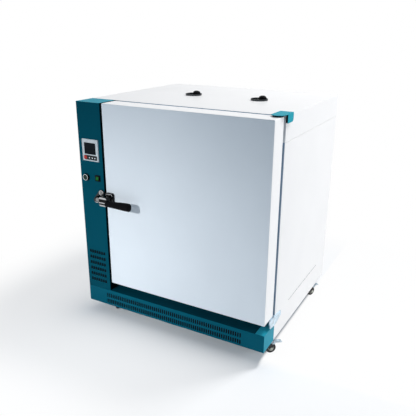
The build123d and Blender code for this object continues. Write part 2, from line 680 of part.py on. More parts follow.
def insulation():
    """Mineral wool round the chamber, with ways through for the heaters, shaft, probe and exhausts."""
    wall = CHAMBER_SHEET
    body = block(
        (DIVIDER_RIGHT, INNER_RIGHT - SHEET),
        (CHAMBER_FRONT + wall, BODY_BACK - 2 * SHEET),
        (PAN_SHEET, ROOF_UNDER - SHEET),
    )
    body -= block(
        (CHAMBER_LEFT - wall, CHAMBER_RIGHT + wall),
        (CHAMBER_FRONT, CHAMBER_BACK + wall),
        (CHAMBER_FLOOR - wall, CHAMBER_ROOF + wall),
    )
    through = (DIVIDER_X, CHAMBER_LEFT)
    holes = [rod("x", HEATER_RADIUS + HOLE_GAP, through, place) for place in heater_legs()]
    holes.append(rod("x", SHAFT_HOLE_RADIUS, through, FAN_CENTRE))
    holes.append(rod("x", PROBE_RADIUS + HOLE_GAP, through, PROBE_PLACE))
    tube_radius = TUBE_RADIUS + TUBE_WALL + ROOF_HOLE_GAP
    holes += [rod("z", tube_radius, (CHAMBER_ROOF, ROOF), (x, DAMPER_Y)) for x in DAMPERS_X.values()]
    return body - holes


def chamber_floor():
    """Slotted plate over the heaters, on a front and a back leg."""
    y = (CHAMBER_FRONT + FLOOR_MARGIN, CHAMBER_BACK - SHEET)
    x = (CHAMBER_LEFT + SHEET, CHAMBER_RIGHT - SHEET)
    plate = block(x, y, (FLOOR_PLATE_Z, FLOOR_PLATE_Z + SHEET))
    front_leg = block(x, (y[0], y[0] + SHEET), (CHAMBER_FLOOR, FLOOR_PLATE_Z))
    back_leg = block(x, (y[1] - SHEET, y[1]), (CHAMBER_FLOOR, FLOOR_PLATE_Z))
    middle_x = (CHAMBER_LEFT + CHAMBER_RIGHT) / 2
    middle_y = (CHAMBER_FRONT + CHAMBER_BACK) / 2
    slots = [
        block(
            centred(slot_x, FLOOR_SLOT_SIZE[0]),
            centred(slot_y, FLOOR_SLOT_SIZE[1]),
            (FLOOR_PLATE_Z - SHEET, FLOOR_PLATE_Z + 2 * SHEET),
        )
        for slot_x in centred_steps(middle_x, FLOOR_SLOT_PITCH[0], FLOOR_SLOT_COUNT[0])
        for slot_y in centred_steps(middle_y, FLOOR_SLOT_PITCH[1], FLOOR_SLOT_COUNT[1])
    ]
    return plate + front_leg + back_leg - slots


def air_baffle():
    """Perforated plate between the fan and the shelves, with the fan's round inlet."""
    y = (CHAMBER_FRONT + FLOOR_MARGIN, CHAMBER_BACK)
    plate = block((BAFFLE_X, BAFFLE_X + SHEET), y, (FLOOR_PLATE_Z + SHEET, CHAMBER_ROOF))
    through = (BAFFLE_X - SHEET, BAFFLE_X + 2 * SHEET)
    cuts = [rod("x", BAFFLE_HOLE_RADIUS, through, FAN_CENTRE)]
    cuts.append(rod("x", PROBE_RADIUS + HOLE_GAP, through, PROBE_PLACE))
    bank_offset = FAN_RADIUS + BAFFLE_SLOT_PITCH_Y * BAFFLE_COLUMN_COUNT / 2
    rows = centred_steps((FLOOR_PLATE_Z + CHAMBER_ROOF) / 2, BAFFLE_SLOT_PITCH_Z, BAFFLE_ROW_COUNT)
    for bank in (-1, 1):
        middle = FAN_CENTRE[0] + bank * bank_offset
        for slot_y in centred_steps(middle, BAFFLE_SLOT_PITCH_Y, BAFFLE_COLUMN_COUNT):
            if abs(slot_y - PROBE_PLACE[0]) < BAFFLE_SLOT_SIZE[0]:
                continue
            for slot_z in rows:
                cuts.append(block(
                    through,
                    centred(slot_y, BAFFLE_SLOT_SIZE[0]),
                    centred(slot_z, BAFFLE_SLOT_SIZE[1]),
                ))
    return plate - cuts


def shelf_rails():
    """Four pairs of rails, on the baffle and on the chamber's right wall."""
    y = (CHAMBER_FRONT + RAIL_END_GAP, CHAMBER_BACK - RAIL_END_GAP)
    left_x = (BAFFLE_X + SHEET, BAFFLE_X + SHEET + RAIL_SIZE)
    right_x = (CHAMBER_RIGHT - RAIL_SIZE, CHAMBER_RIGHT)
    rails = [block(x, y, (z - RAIL_SIZE, z)) for z in RAIL_HEIGHTS for x in (left_x, right_x)]
    return Compound(rails)


def shelf(rail_height):
    """Wire shelf: a rod frame with lighter rods across it."""
    r = SHELF_FRAME_RADIUS
    x = (BAFFLE_X + SHEET + SHELF_SIDE_GAP + r, CHAMBER_RIGHT - SHELF_SIDE_GAP - r)
    y = (CHAMBER_FRONT + SHELF_END_GAP + r, CHAMBER_BACK - SHELF_END_GAP - r)
    z = rail_height + r
    frame = [rod("x", r, x, (side, z)) for side in y] + [rod("y", r, y, (side, z)) for side in x]
    frame += [Pos(corner_x, corner_y, z) * Sphere(r) for corner_x in x for corner_y in y]
    pitch = (x[1] - x[0]) / (SHELF_ROD_COUNT + 1)
    rods = [rod("y", SHELF_ROD_RADIUS, y, (x[0] + pitch * (index + 1), z + r - SHELF_ROD_RADIUS))
            for index in range(SHELF_ROD_COUNT)]
    whole = frame[0]
    return whole + frame[1:] + rods


def heater_elements():
    """Tubular hairpin heaters under the chamber's floor plate, each on a flange at the divider."""
    heaters = []
    start = DIVIDER_X - HEATER_FLANGE - HEATER_TERMINAL
    bend_x = CHAMBER_RIGHT - HEATER_END_GAP - HEATER_BEND_RADIUS - HEATER_RADIUS
    for y in HEATERS_Y:
        near, far = y - HEATER_BEND_RADIUS, y + HEATER_BEND_RADIUS
        tip = (bend_x + HEATER_BEND_RADIUS, y, HEATER_Z)
        route = Line((start, near, HEATER_Z), (bend_x, near, HEATER_Z))
        route += ThreePointArc((bend_x, near, HEATER_Z), tip, (bend_x, far, HEATER_Z))
        route += Line((bend_x, far, HEATER_Z), (start, far, HEATER_Z))
        section = Plane(origin=(start, near, HEATER_Z), z_dir=(1, 0, 0)) * Circle(HEATER_RADIUS)
        tube = sweep(section, route)
        flange = block(
            (DIVIDER_X - HEATER_FLANGE, DIVIDER_X),
            centred(y, 2 * (HEATER_BEND_RADIUS + HEATER_FLANGE_MARGIN)),
            centred(HEATER_Z, 2 * HEATER_FLANGE_MARGIN),
        )
        heaters.append(tube + flange)
    return Compound(heaters)


# Fan and what is in the motor space


def fan_motor():
    """Motor with cooling fins, a round flange and four standoffs to the divider."""
    back = MOTOR_FACE_X - MOTOR_FLANGE - MOTOR_LENGTH
    body = rod("x", MOTOR_RADIUS, (back, MOTOR_FACE_X), FAN_CENTRE)
    fin_pitch = MOTOR_LENGTH / (MOTOR_FIN_COUNT + 1)
    fins_x = [back + fin_pitch * (index + 1) for index in range(MOTOR_FIN_COUNT)]
    fin_radius = MOTOR_RADIUS + MOTOR_FIN_HEIGHT
    fins = [rod("x", fin_radius, centred(x, MOTOR_FIN_THICKNESS), FAN_CENTRE) for x in fins_x]
    flange = rod("x", MOTOR_FLANGE_RADIUS, (MOTOR_FACE_X - MOTOR_FLANGE, MOTOR_FACE_X), FAN_CENTRE)
    circle = MOTOR_FLANGE_RADIUS - 1.5 * MOTOR_STANDOFF_RADIUS
    posts = []
    for quarter in range(4):
        angle = math.radians(45 + 90 * quarter)
        place = (FAN_CENTRE[0] + circle * math.cos(angle), FAN_CENTRE[1] + circle * math.sin(angle))
        posts.append(rod("x", MOTOR_STANDOFF_RADIUS, (MOTOR_FACE_X - MOTOR_FLANGE, DIVIDER_X), place))
    bore_x = (MOTOR_FACE_X - MOTOR_SHAFT_DEPTH - MOTOR_SHAFT_END_GAP, MOTOR_FACE_X + SHEET)
    bore = rod("x", SHAFT_RADIUS + RUNNING_CLEARANCE, bore_x, FAN_CENTRE)
    return body + fins + [flange] + posts - bore


def fan_shaft():
    """Motor shaft, from inside the motor to the fan wheel's outer face."""
    return rod("x", SHAFT_RADIUS, (MOTOR_FACE_X - MOTOR_SHAFT_DEPTH, FAN_X + FAN_DEPTH), FAN_CENTRE)


def fan_wheel():
    """Centrifugal wheel: back plate, hub, slanted blades and a front ring."""
    x = (FAN_X, FAN_X + FAN_DEPTH)
    back = rod("x", FAN_RADIUS, (x[0], x[0] + FAN_PLATE), FAN_CENTRE)
    ring_x = (x[1] - FAN_PLATE, x[1])
    ring = rod("x", FAN_RADIUS, ring_x, FAN_CENTRE) - rod("x", FAN_RING_RADIUS, ring_x, FAN_CENTRE)
    hub = rod("x", FAN_HUB_RADIUS, x, FAN_CENTRE)
    middle = FAN_RADIUS - FAN_BLADE_LENGTH / 2
    blades = []
    for index in range(FAN_BLADE_COUNT):
        blade = Rot(0, 0, FAN_BLADE_ANGLE) * Box(FAN_BLADE_LENGTH, FAN_PLATE, FAN_DEPTH)
        blade = Rot(0, 0, 360 * index / FAN_BLADE_COUNT) * Pos(middle - FAN_PLATE, 0, 0) * blade
        blades.append(Pos((x[0] + x[1]) / 2, *FAN_CENTRE) * Rot(0, 90, 0) * blade)
    bore = rod("x", SHAFT_RADIUS + SHAFT_SEAT, (x[0] - FAN_PLATE, x[1] + FAN_PLATE), FAN_CENTRE)
    return back + [ring, hub] + blades - bore


def temperature_probe():
    """Sheathed probe through the divider and the chamber's wall, with its nut and cable head."""
    tip = BAFFLE_X + PROBE_REACH
    sheath = rod("x", PROBE_RADIUS, (DIVIDER_X - PROBE_NUT_LENGTH, tip), PROBE_PLACE)
    nut = Pos(DIVIDER_X - PROBE_NUT_LENGTH, *PROBE_PLACE) * Rot(0, 90, 0) * extrude(
        RegularPolygon(PROBE_NUT_RADIUS, 6), PROBE_NUT_LENGTH)
    head_x = (DIVIDER_X - PROBE_NUT_LENGTH - PROBE_HEAD_LENGTH, DIVIDER_X - PROBE_NUT_LENGTH)
    return sheath + [nut, rod("x", PROBE_HEAD_RADIUS, head_x, PROBE_PLACE)]


def relay():
    """Solid-state relay on a finned heat sink, on the inside of the left panel."""
    y = centred(RELAY_PLACE[0], RELAY_LENGTH)
    base_x = (SHEET + HEAT_SINK_FIN_DEPTH, SHEET + HEAT_SINK_FIN_DEPTH + HEAT_SINK_BASE)
    base = block(base_x, y, centred(RELAY_PLACE[1], HEAT_SINK_HEIGHT))
    span = HEAT_SINK_HEIGHT - HEAT_SINK_FIN_THICKNESS
    fins = [block((SHEET, base_x[0]), y, centred(z, HEAT_SINK_FIN_THICKNESS))
            for z in centred_steps(RELAY_PLACE[1], span / (HEAT_SINK_FIN_COUNT - 1), HEAT_SINK_FIN_COUNT)]
    switch = block(
        (base_x[1], base_x[1] + RELAY_DEPTH),
        centred(RELAY_PLACE[0], RELAY_SIZE[0]),
        centred(RELAY_PLACE[1], RELAY_SIZE[1]),
    )
    return base + fins + [switch]


def cable_gland():
    """Gland for the mains cord, through the back panel, with its nut inside."""
    inner = BODY_BACK - SHEET
    hexagon = Plane.XZ * RegularPolygon(GLAND_HEX_RADIUS, 6)
    outer_hex = extrude(Pos(GLAND_PLACE[0], BODY_BACK, GLAND_PLACE[1]) * hexagon, -GLAND_HEX_LENGTH)
    nut = extrude(Pos(GLAND_PLACE[0], inner - GLAND_NUT_LENGTH, GLAND_PLACE[1]) * hexagon, -GLAND_NUT_LENGTH)
    thread = rod("y", GLAND_THREAD_RADIUS, (inner - GLAND_INSIDE, BODY_BACK), GLAND_PLACE)
    cap = rod("y", GLAND_CAP_RADIUS, (BODY_BACK + GLAND_HEX_LENGTH, BACK_REACH), GLAND_PLACE)
    cap = chamfer(cap.edges().sort_by(Axis.Y)[-1], GLAND_CAP_CHAMFER)
    bore = rod("y", GLAND_BORE_RADIUS, (inner - GLAND_INSIDE - SHEET, BACK_REACH + SHEET), GLAND_PLACE)
    return thread + [outer_hex, nut, cap] - bore


# Controls on the column


def controller_case():
    """Controller's bezel and body, with a window for the screen and pockets for the keys."""
    bezel = block(
        centred(CONTROLLER_CENTRE[0], CONTROLLER_WIDTH),
        (-CONTROLLER_FRONT, 0),
        centred(CONTROLLER_CENTRE[1], CONTROLLER_HEIGHT),
    )
    front_edges = bezel.faces().sort_by(Axis.Y)[0].edges()
    bezel = fillet(bezel.edges().filter_by(Axis.Y) + front_edges, CONTROLLER_EDGE_RADIUS)
    body = block(
        centred(CONTROLLER_CENTRE[0], CONTROLLER_BODY_WIDTH),
        (0, CONTROLLER_BODY_DEPTH),
        centred(CONTROLLER_CENTRE[1], CONTROLLER_BODY_HEIGHT),
    )
    window = block(
        centred(SCREEN_CENTRE[0], SCREEN_SIZE[0]),
        (-CONTROLLER_FRONT - SHEET, -CONTROLLER_FRONT + SCREEN_DEPTH),
        centred(SCREEN_CENTRE[1], SCREEN_SIZE[1]),
    )
    floor = -CONTROLLER_FRONT - KEY_PROUD + KEY_DEPTH + KEY_TRAVEL + KEY_FLOOR_GAP
    pocket_y = (-CONTROLLER_FRONT - SHEET, floor)
    pockets = [block(
        centred(SET_KEY_CENTRE[0], SET_KEY_SIZE[0] + 2 * KEY_GAP),
        pocket_y,
        centred(SET_KEY_CENTRE[1], SET_KEY_SIZE[1] + 2 * KEY_GAP),
    )]
    for x in ROUND_KEYS_X.values():
        pockets.append(rod("y", ROUND_KEY_RADIUS + KEY_GAP, pocket_y, (x, ROUND_KEY_Z)))
    return bezel + body - window - pockets


def controller_screen():
    """Flat display window in the controller's face."""
    return block(
        centred(SCREEN_CENTRE[0], SCREEN_SIZE[0]),
        (-CONTROLLER_FRONT, -CONTROLLER_FRONT + SCREEN_DEPTH),
        centred(SCREEN_CENTRE[1], SCREEN_SIZE[1]),
    )


def key_span():
    """The range of Y that a key takes up at rest."""
    front = -CONTROLLER_FRONT - KEY_PROUD
    return (front, front + KEY_DEPTH)


def set_key():
    """Square key at the left of the row."""
    key = block(
        centred(SET_KEY_CENTRE[0], SET_KEY_SIZE[0]),
        key_span(),
        centred(SET_KEY_CENTRE[1], SET_KEY_SIZE[1]),
    )
    return fillet(key.edges().filter_by(Axis.Y), SET_KEY_RADIUS)


def round_key(x):
    """Round key."""
    key = rod("y", ROUND_KEY_RADIUS, key_span(), (x, ROUND_KEY_Z))
    return chamfer(key.edges().sort_by(Axis.Y)[0], 0.4)


def button_bezel():
    """Ring of the push button on the column's face, with its barrel through the panel."""
    ring = rod("y", BUTTON_RADIUS, (-BUTTON_FRONT, 0), BUTTON_CENTRE)
    ring = fillet(ring.edges().sort_by(Axis.Y)[0], BUTTON_EDGE_RADIUS)
    barrel = rod("y", BUTTON_BARREL_RADIUS, (0, BUTTON_BARREL_DEPTH), BUTTON_CENTRE)
    cap_back = -BUTTON_FRONT - BUTTON_CAP_PROUD + BUTTON_CAP_DEPTH
    pocket_y = (-BUTTON_FRONT - SHEET, cap_back + BUTTON_TRAVEL + BUTTON_CAP_GAP)
    return ring + barrel - rod("y", BUTTON_BORE_RADIUS, pocket_y, BUTTON_CENTRE)


def push_button():
    """Cap of the push button, set a little back in its ring."""
    front = -BUTTON_FRONT - BUTTON_CAP_PROUD
    cap = rod("y", BUTTON_BORE_RADIUS - BUTTON_CAP_GAP, (front, front + BUTTON_CAP_DEPTH), BUTTON_CENTRE)
    return chamfer(cap.edges().sort_by(Axis.Y)[0], 1)


def rocker_bezel():
    """Square frame of the power rocker, with its body through the panel."""
    frame = block(
        centred(ROCKER_CENTRE[0], ROCKER_BEZEL_SIZE),
        (-ROCKER_BEZEL_FRONT, 0),
        centred(ROCKER_CENTRE[1], ROCKER_BEZEL_SIZE),
    )
    frame = fillet(frame.edges().filter_by(Axis.Y), ROCKER_BEZEL_RADIUS)
    body = block(
        centred(ROCKER_CENTRE[0], ROCKER_BODY_SIZE),
        (0, ROCKER_BODY_DEPTH),
        centred(ROCKER_CENTRE[1], ROCKER_BODY_SIZE),
    )
    pocket = block(
        centred(ROCKER_CENTRE[0], ROCKER_SIZE + 2 * ROCKER_SIDE_GAP),
        (-ROCKER_BEZEL_FRONT - SHEET, ROCKER_BACK + ROCKER_SWING_GAP),
        centred(ROCKER_CENTRE[1], ROCKER_SIZE + 2 * ROCKER_SWING_GAP),
    )
    return frame + body - pocket


def power_rocker():
    """Rocker with its lamp window, tilted with its upper half pressed in."""
    half = ROCKER_SIZE / 2
    depth = ROCKER_FRONT + ROCKER_BACK
    body = Pos(0, (ROCKER_BACK - ROCKER_FRONT) / 2, 0) * Box(ROCKER_SIZE, depth, 2 * half)
    body = fillet(body.edges().filter_by(Axis.Y), 1.5)
    tilted = Pos(0, ROCKER_PIVOT_DEPTH, 0) * Rot(-ROCKER_TILT, 0, 0) * Pos(0, -ROCKER_PIVOT_DEPTH, 0) * body
    return Pos(ROCKER_CENTRE[0], 0, ROCKER_CENTRE[1]) * tilted


# Keeper and latch


def keeper_bracket():
    """Keeper plate with two ears, the cheek at the roller's left end, and the roller's pin."""
    places = (KEEPER_UPPER, KEEPER_LOWER)
    ears = [rod("y", KEEPER_EAR_RADIUS, (-KEEPER_THICKNESS, 0), place) for place in places]
    run = (KEEPER_UPPER[0] - KEEPER_LOWER[0], KEEPER_UPPER[1] - KEEPER_LOWER[1])
    length = math.hypot(*run)
    middle = ((KEEPER_UPPER[0] + KEEPER_LOWER[0]) / 2, (KEEPER_UPPER[1] + KEEPER_LOWER[1]) / 2)
    slope = math.degrees(math.atan2(run[1], run[0]))
    band = Rot(0, -slope, 0) * Box(length, KEEPER_THICKNESS, 2 * KEEPER_EAR_RADIUS)
    plate = ears[0] + [ears[1], Pos(middle[0], -KEEPER_THICKNESS / 2, middle[1]) * band]
    cheek_x = (CHEEK_LEFT, CHEEK_RIGHT)
    cheek_radius = ROLLER_RADIUS + CHEEK_MARGIN
    cheek = block(cheek_x, (-ROLLER_STANDOFF, -KEEPER_THICKNESS / 2), centred(ROLLER_Z, 2 * cheek_radius))
    nose = rod("x", cheek_radius, cheek_x, (-ROLLER_STANDOFF, ROLLER_Z))
    pin_end = ROLLER_X + ROLLER_LENGTH + ROLLER_END_GAP
    pin_place = (-ROLLER_STANDOFF, ROLLER_Z)
    pin = rod("x", ROLLER_PIN_RADIUS, (CHEEK_LEFT, pin_end), pin_place)
    head = rod("x", ROLLER_PIN_RADIUS + CHEEK_MARGIN, (pin_end, pin_end + ROLLER_PIN_HEAD), pin_place)
    through = (-2 * KEEPER_THICKNESS, SHEET)
    holes = [rod("y", KEEPER_SHANK_RADIUS + ROOF_HOLE_GAP, through, place) for place in places]
    return plate + [cheek, nose, pin, head] - holes


def keeper_screws():
    """Two slotted screws that hold the keeper to the column."""
    screws = []
    for place in (KEEPER_UPPER, KEEPER_LOWER):
        head_y = (-KEEPER_THICKNESS - KEEPER_SCREW_HEAD, -KEEPER_THICKNESS)
        head = rod("y", KEEPER_SCREW_RADIUS, head_y, place)
        head = chamfer(head.edges().sort_by(Axis.Y)[0], 1)
        shank = rod("y", KEEPER_SHANK_RADIUS, (-KEEPER_THICKNESS, KEEPER_SHANK_REACH), place)
        slot = Rot(0, -45, 0) * Box(3 * KEEPER_SCREW_RADIUS, KEEPER_SCREW_HEAD, KEEPER_SCREW_SLOT)
        slot = Pos(place[0], -KEEPER_THICKNESS - KEEPER_SCREW_HEAD, place[1]) * slot
        screws.append(head + shank - slot)
    return Compound(screws)


def keeper_roller():
    """Roller that the latch tongue goes behind."""
    x = (ROLLER_X, ROLLER_X + ROLLER_LENGTH)
    roller = rod("x", ROLLER_RADIUS, x, (-ROLLER_STANDOFF, ROLLER_Z))
    roller = fillet(roller.edges(), 1)
    bore_radius = ROLLER_PIN_RADIUS + RUNNING_CLEARANCE
    bore = rod("x", bore_radius, (x[0] - 1, x[1] + 1), (-ROLLER_STANDOFF, ROLLER_Z))
    return roller - bore


def latch_base():
    """Base of the latch on the door's front, which the spindle goes through."""
    base = block(
        centred(SPINDLE_X + LATCH_BASE_OFFSET_X, LATCH_BASE_WIDTH),
        (-LATCH_BASE_THICKNESS, 0),
        centred(SPINDLE_Z + LATCH_BASE_OFFSET_Z, LATCH_BASE_HEIGHT),
    )
    base = fillet(base.edges().filter_by(Axis.Y), LATCH_BASE_RADIUS)
    base = fillet(base.faces().sort_by(Axis.Y)[0].edges(), 2)
    hole_y = (-LATCH_BASE_THICKNESS - SHEET, SHEET)
    return base - rod("y", SPINDLE_RADIUS + RUNNING_CLEARANCE, hole_y, (SPINDLE_X, SPINDLE_Z))


def latch_lever():
    """Hub with its spindle, the tongue at its left, and the tang that the grip goes on."""
    hub = block(centred(HUB_X, HUB_WIDTH), (HUB_FRONT, HUB_BACK), centred(SPINDLE_Z, HUB_HEIGHT))
    hub = fillet(hub.edges().filter_by(Axis.Y), HUB_RADIUS)
    hub = fillet(hub.faces().sort_by(Axis.Y)[0].edges(), 3)
    spindle = rod("y", SPINDLE_RADIUS, (HUB_BACK - 1, SPINDLE_DEPTH), (SPINDLE_X, SPINDLE_Z))
    tongue = block(
        (SPINDLE_X - TONGUE_REACH, SPINDLE_X),
        (-TONGUE_STANDOFF - TONGUE_THICKNESS, -TONGUE_STANDOFF),
        centred(SPINDLE_Z, TONGUE_HEIGHT),
    )
    tip = tongue.faces().sort_by(Axis.X)[0].edges().sort_by(Axis.Y)[0]
    tongue = chamfer(tip, TONGUE_BEVEL)
    tang = rod("x", TANG_RADIUS, (SPINDLE_X, GRIP_X + TANG_LENGTH), (-TANG_STANDOFF, SPINDLE_Z))
    slots = [block(
        centred(HUB_X, HUB_SLOT_LENGTH),
        (HUB_FRONT - SHEET, HUB_FRONT + HUB_SLOT_DEPTH),
        centred(SPINDLE_Z + side * HUB_SLOT_SPACING / 2, HUB_SLOT_HEIGHT),
    ) for side in (-1, 1)]
    return hub + [spindle, tongue, tang] - slots


def latch_grip():
    """Grip of the latch, which swells towards its rounded end."""
    stations = (
        (0.0, GRIP_NECK_HEIGHT, 0.0),
        (0.35, GRIP_MIDDLE_HEIGHT - 2, 0.3),
        (0.65, GRIP_MIDDLE_HEIGHT + 2, 0.7),
        (0.9, GRIP_END_HEIGHT, 1.0),
        (1.0, GRIP_END_HEIGHT - 6, 1.0),
    )
    sections = []
    for share, height, rise in stations:
        depth = GRIP_DEPTH if share < 1 else GRIP_DEPTH - 6
        centre = (GRIP_X + share * GRIP_LENGTH, -GRIP_STANDOFF, SPINDLE_Z - 3 + rise * GRIP_RISE)
        plane = Plane(origin=centre, x_dir=(0, 1, 0), z_dir=(1, 0, 0))
        sections.append(plane * Ellipse(depth / 2, height / 2))
    grip = loft(sections)
    seat_x = (GRIP_X - 1, GRIP_X + TANG_LENGTH)
    seat = rod("x", TANG_RADIUS + RUNNING_CLEARANCE, seat_x, (-TANG_STANDOFF, SPINDLE_Z))
    return grip - seat


# Door and its hinges


def door_form(inset, back, radius):
    """The door's form drawn in by an inset at its front and four sides, with rounded edges."""
    form = block(
        (DOOR_LEFT + inset, DOOR_RIGHT - inset),
        (inset, back),
        (DOOR_BOTTOM + inset, DOOR_TOP - inset),
    )
    return fillet(form.edges().filter_by(Axis.Y) + form.faces().sort_by(Axis.Y)[0].edges(), radius)


def door_cavity():
    """The space inside the door's sheet."""
    return door_form(DOOR_SHEET, DOOR_THICKNESS - DOOR_SHEET, DOOR_EDGE_RADIUS - DOOR_SHEET)


def bush_spans():
    """Ranges of Z of the lower and the upper hinge bush."""
    low = (DOOR_BOTTOM, DOOR_BOTTOM + BUSH_LENGTH)
    return (low, (DOOR_TOP - BUSH_LENGTH, DOOR_TOP))


def door_skin():
    """Door's outer sheet, folded in at the back, with a hinge bush at the top and at the bottom."""
    skin = door_form(0, DOOR_THICKNESS, DOOR_EDGE_RADIUS) - door_cavity()
    skin -= block(
        (DOOR_LEFT + DOOR_RETURN, DOOR_RIGHT - DOOR_RETURN),
        (DOOR_THICKNESS - 2 * DOOR_SHEET, DOOR_THICKNESS + DOOR_SHEET),
        (DOOR_BOTTOM + DOOR_RETURN, DOOR_TOP - DOOR_RETURN),
    )
    place = (HINGE_X, HINGE_Y)
    for low, high in bush_spans():
        skin += rod("z", BUSH_RADIUS, (low, high), place)
        skin -= rod("z", HINGE_PIN_RADIUS + RUNNING_CLEARANCE, (low - 1, high + 1), place)
    return skin - rod("y", SPINDLE_RADIUS + ROOF_HOLE_GAP, (-SHEET, 2 * SHEET), (SPINDLE_X, SPINDLE_Z))


def door_insulation():
    """Mineral wool inside the door, cut out round the bushes and the spindle."""
    body = door_cavity()
    for low, high in bush_spans():
        body -= rod("z", BUSH_RADIUS, (low, high), (HINGE_X, HINGE_Y))
    return body - rod("y", SPINDLE_RADIUS + 1, (0, SPINDLE_DEPTH + 1), (SPINDLE_X, SPINDLE_Z))


def door_liner():
    """Stainless inner sheet of the door, with a pan raised towards the chamber."""
    back = DOOR_THICKNESS + LINER_SHEET
    plate = block(
        (GASKET_LEFT - LINER_MARGIN, GASKET_RIGHT + LINER_MARGIN),
        (DOOR_THICKNESS, back),
        (GASKET_BOTTOM - LINER_MARGIN, GASKET_TOP + LINER_MARGIN),
    )
    inset = GASKET_WIDTH + LINER_PAN_INSET
    x = (GASKET_LEFT + inset, GASKET_RIGHT - inset)
    z = (GASKET_BOTTOM + inset, GASKET_TOP - inset)
    pan = block(x, (DOOR_THICKNESS, back + LINER_PAN_DEPTH), z)
    pan = fillet(pan.faces().sort_by(Axis.Y)[-1].edges() + pan.edges().filter_by(Axis.Y), LINER_PAN_RADIUS)
    t = LINER_SHEET
    hollow = block(
        (x[0] + t, x[1] - t),
        (DOOR_THICKNESS - t, back + LINER_PAN_DEPTH - t),
        (z[0] + t, z[1] - t),
    )
    inner_edges = hollow.faces().sort_by(Axis.Y)[-1].edges() + hollow.edges().filter_by(Axis.Y)
    hollow = fillet(inner_edges, LINER_PAN_RADIUS - t)
    return plate + pan - hollow


def door_gasket():
    """Seal on the door's inner face, round the chamber's mouth."""
    y = (DOOR_THICKNESS + LINER_SHEET, BODY_FRONT - GASKET_GAP)
    ring = block((GASKET_LEFT, GASKET_RIGHT), y, (GASKET_BOTTOM, GASKET_TOP))
    ring = fillet(ring.edges().filter_by(Axis.Y), GASKET_CORNER_RADIUS)
    inner = block(
        (GASKET_LEFT + GASKET_WIDTH, GASKET_RIGHT - GASKET_WIDTH),
        (y[0] - 1, y[1] + 1),
        (GASKET_BOTTOM + GASKET_WIDTH, GASKET_TOP - GASKET_WIDTH),
    )
    inner = fillet(inner.edges().filter_by(Axis.Y), GASKET_CORNER_RADIUS / 3)
    ring -= inner
    lip = ring.faces().sort_by(Axis.Y)[-1].edges()
    return fillet(lip, GASKET_EDGE_RADIUS)


def upper_hinge_bracket():
    """Folded bracket over the door's top corner, with its foot on the roof and side, and the hinge pin."""
    plate_z = (ROOF + UPPER_PLATE_GAP, ROOF + UPPER_PLATE_GAP + UPPER_PLATE_THICKNESS)
    flange_x = (CABINET_WIDTH + UPPER_FLANGE_GAP, CABINET_WIDTH + UPPER_FLANGE_GAP + UPPER_PLATE_THICKNESS)
    left = HINGE_X - UPPER_NOSE_RADIUS
    back = BODY_FRONT + UPPER_PLATE_REACH
    flange_bottom = ROOF - UPPER_FLANGE_DROP
    back_plate = block((left, flange_x[1]), (HINGE_Y, back), plate_z)
    nose = rod("z", UPPER_NOSE_RADIUS, plate_z, (HINGE_X, HINGE_Y))
    flange = block(flange_x, (BODY_FRONT - UPPER_FLANGE_LEAD, back), (flange_bottom, plate_z[1]))
    lower_back = flange.edges().filter_by(Axis.X).sort_by(Axis.Z)[:2].sort_by(Axis.Y)[-1]
    flange = fillet(lower_back, UPPER_FLANGE_RADIUS)
    foot_front = BODY_FRONT + UPPER_FOOT_SETBACK
    foot = block((left, flange_x[0]), (foot_front, back), (ROOF, plate_z[0]))
    side_foot_y = (foot_front, back - UPPER_FOOT_INSET)
    side_foot = block((CABINET_WIDTH, flange_x[0]), side_foot_y, (flange_bottom, plate_z[0]))
    pin = rod("z", HINGE_PIN_RADIUS, (ROOF - PIN_REACH, plate_z[1]), (HINGE_X, HINGE_Y))
    return back_plate + [nose, flange, foot, side_foot, pin]


def lower_hinge_bracket():
    """Strap on the right side, with a plate under the door that carries the lower hinge pin."""
    plate_top = DOOR_BOTTOM - LOWER_PLATE_GAP
    plate_z = (plate_top - LOWER_PLATE_THICKNESS, plate_top)
    strap_x = (CABINET_WIDTH, CABINET_WIDTH + LOWER_STRAP_THICKNESS)
    nose_radius = CABINET_WIDTH - HINGE_X
    plate = block((HINGE_X, strap_x[1]), (HINGE_Y - nose_radius, BODY_FRONT), plate_z)
    plate += block((HINGE_X - nose_radius, HINGE_X), (HINGE_Y, BODY_FRONT), plate_z)
    nose = rod("z", nose_radius, plate_z, (HINGE_X, HINGE_Y))
    front = BODY_FRONT - LOWER_STRAP_LEAD
    back = BODY_FRONT + LOWER_STRAP_REACH
    low_back = plate_top - LOWER_STRAP_FALL - LOWER_STRAP_HEIGHT
    outline = Polyline(
        (front, plate_top),
        (BODY_FRONT, plate_top),
        (back, plate_top - LOWER_STRAP_FALL),
        (back, low_back),
        (BODY_FRONT + LOWER_STRAP_FALL, low_back - LOWER_STRAP_DROP),
        (front + LOWER_STRAP_FALL, low_back - LOWER_STRAP_DROP + LOWER_STRAP_FALL),
        (front, plate_z[0] - LOWER_STRAP_FALL),
        close=True,
    )
    profile = Plane(origin=(strap_x[0], 0, 0), x_dir=(0, 1, 0), z_dir=(1, 0, 0)) * make_face(outline)
    strap = extrude(profile, LOWER_STRAP_THICKNESS)
    strap = fillet(strap.edges().filter_by(Axis.X), LOWER_STRAP_RADIUS)
    screw_x = (strap_x[1], strap_x[1] + LOWER_SCREW_HEAD)
    screws = [rod("x", LOWER_SCREW_RADIUS, screw_x, (y, plate_top - LOWER_SCREW_DROP))
              for y in (BODY_FRONT + LOWER_SCREW_INSET, back - LOWER_SCREW_INSET)]
    pin = rod("z", HINGE_PIN_RADIUS, (plate_z[0], DOOR_BOTTOM + PIN_REACH), (HINGE_X, HINGE_Y))
    return strap + [plate, nose, pin] + screws


# Exhaust dampers


def half_disc(radius, z, side):
    """Half of a disc, on the right (1) or left (-1) of its middle."""
    whole = rod("z", radius, z, (0, 0))
    return whole & block((min(0, side * radius), max(0, side * radius)), (-radius, radius), z)


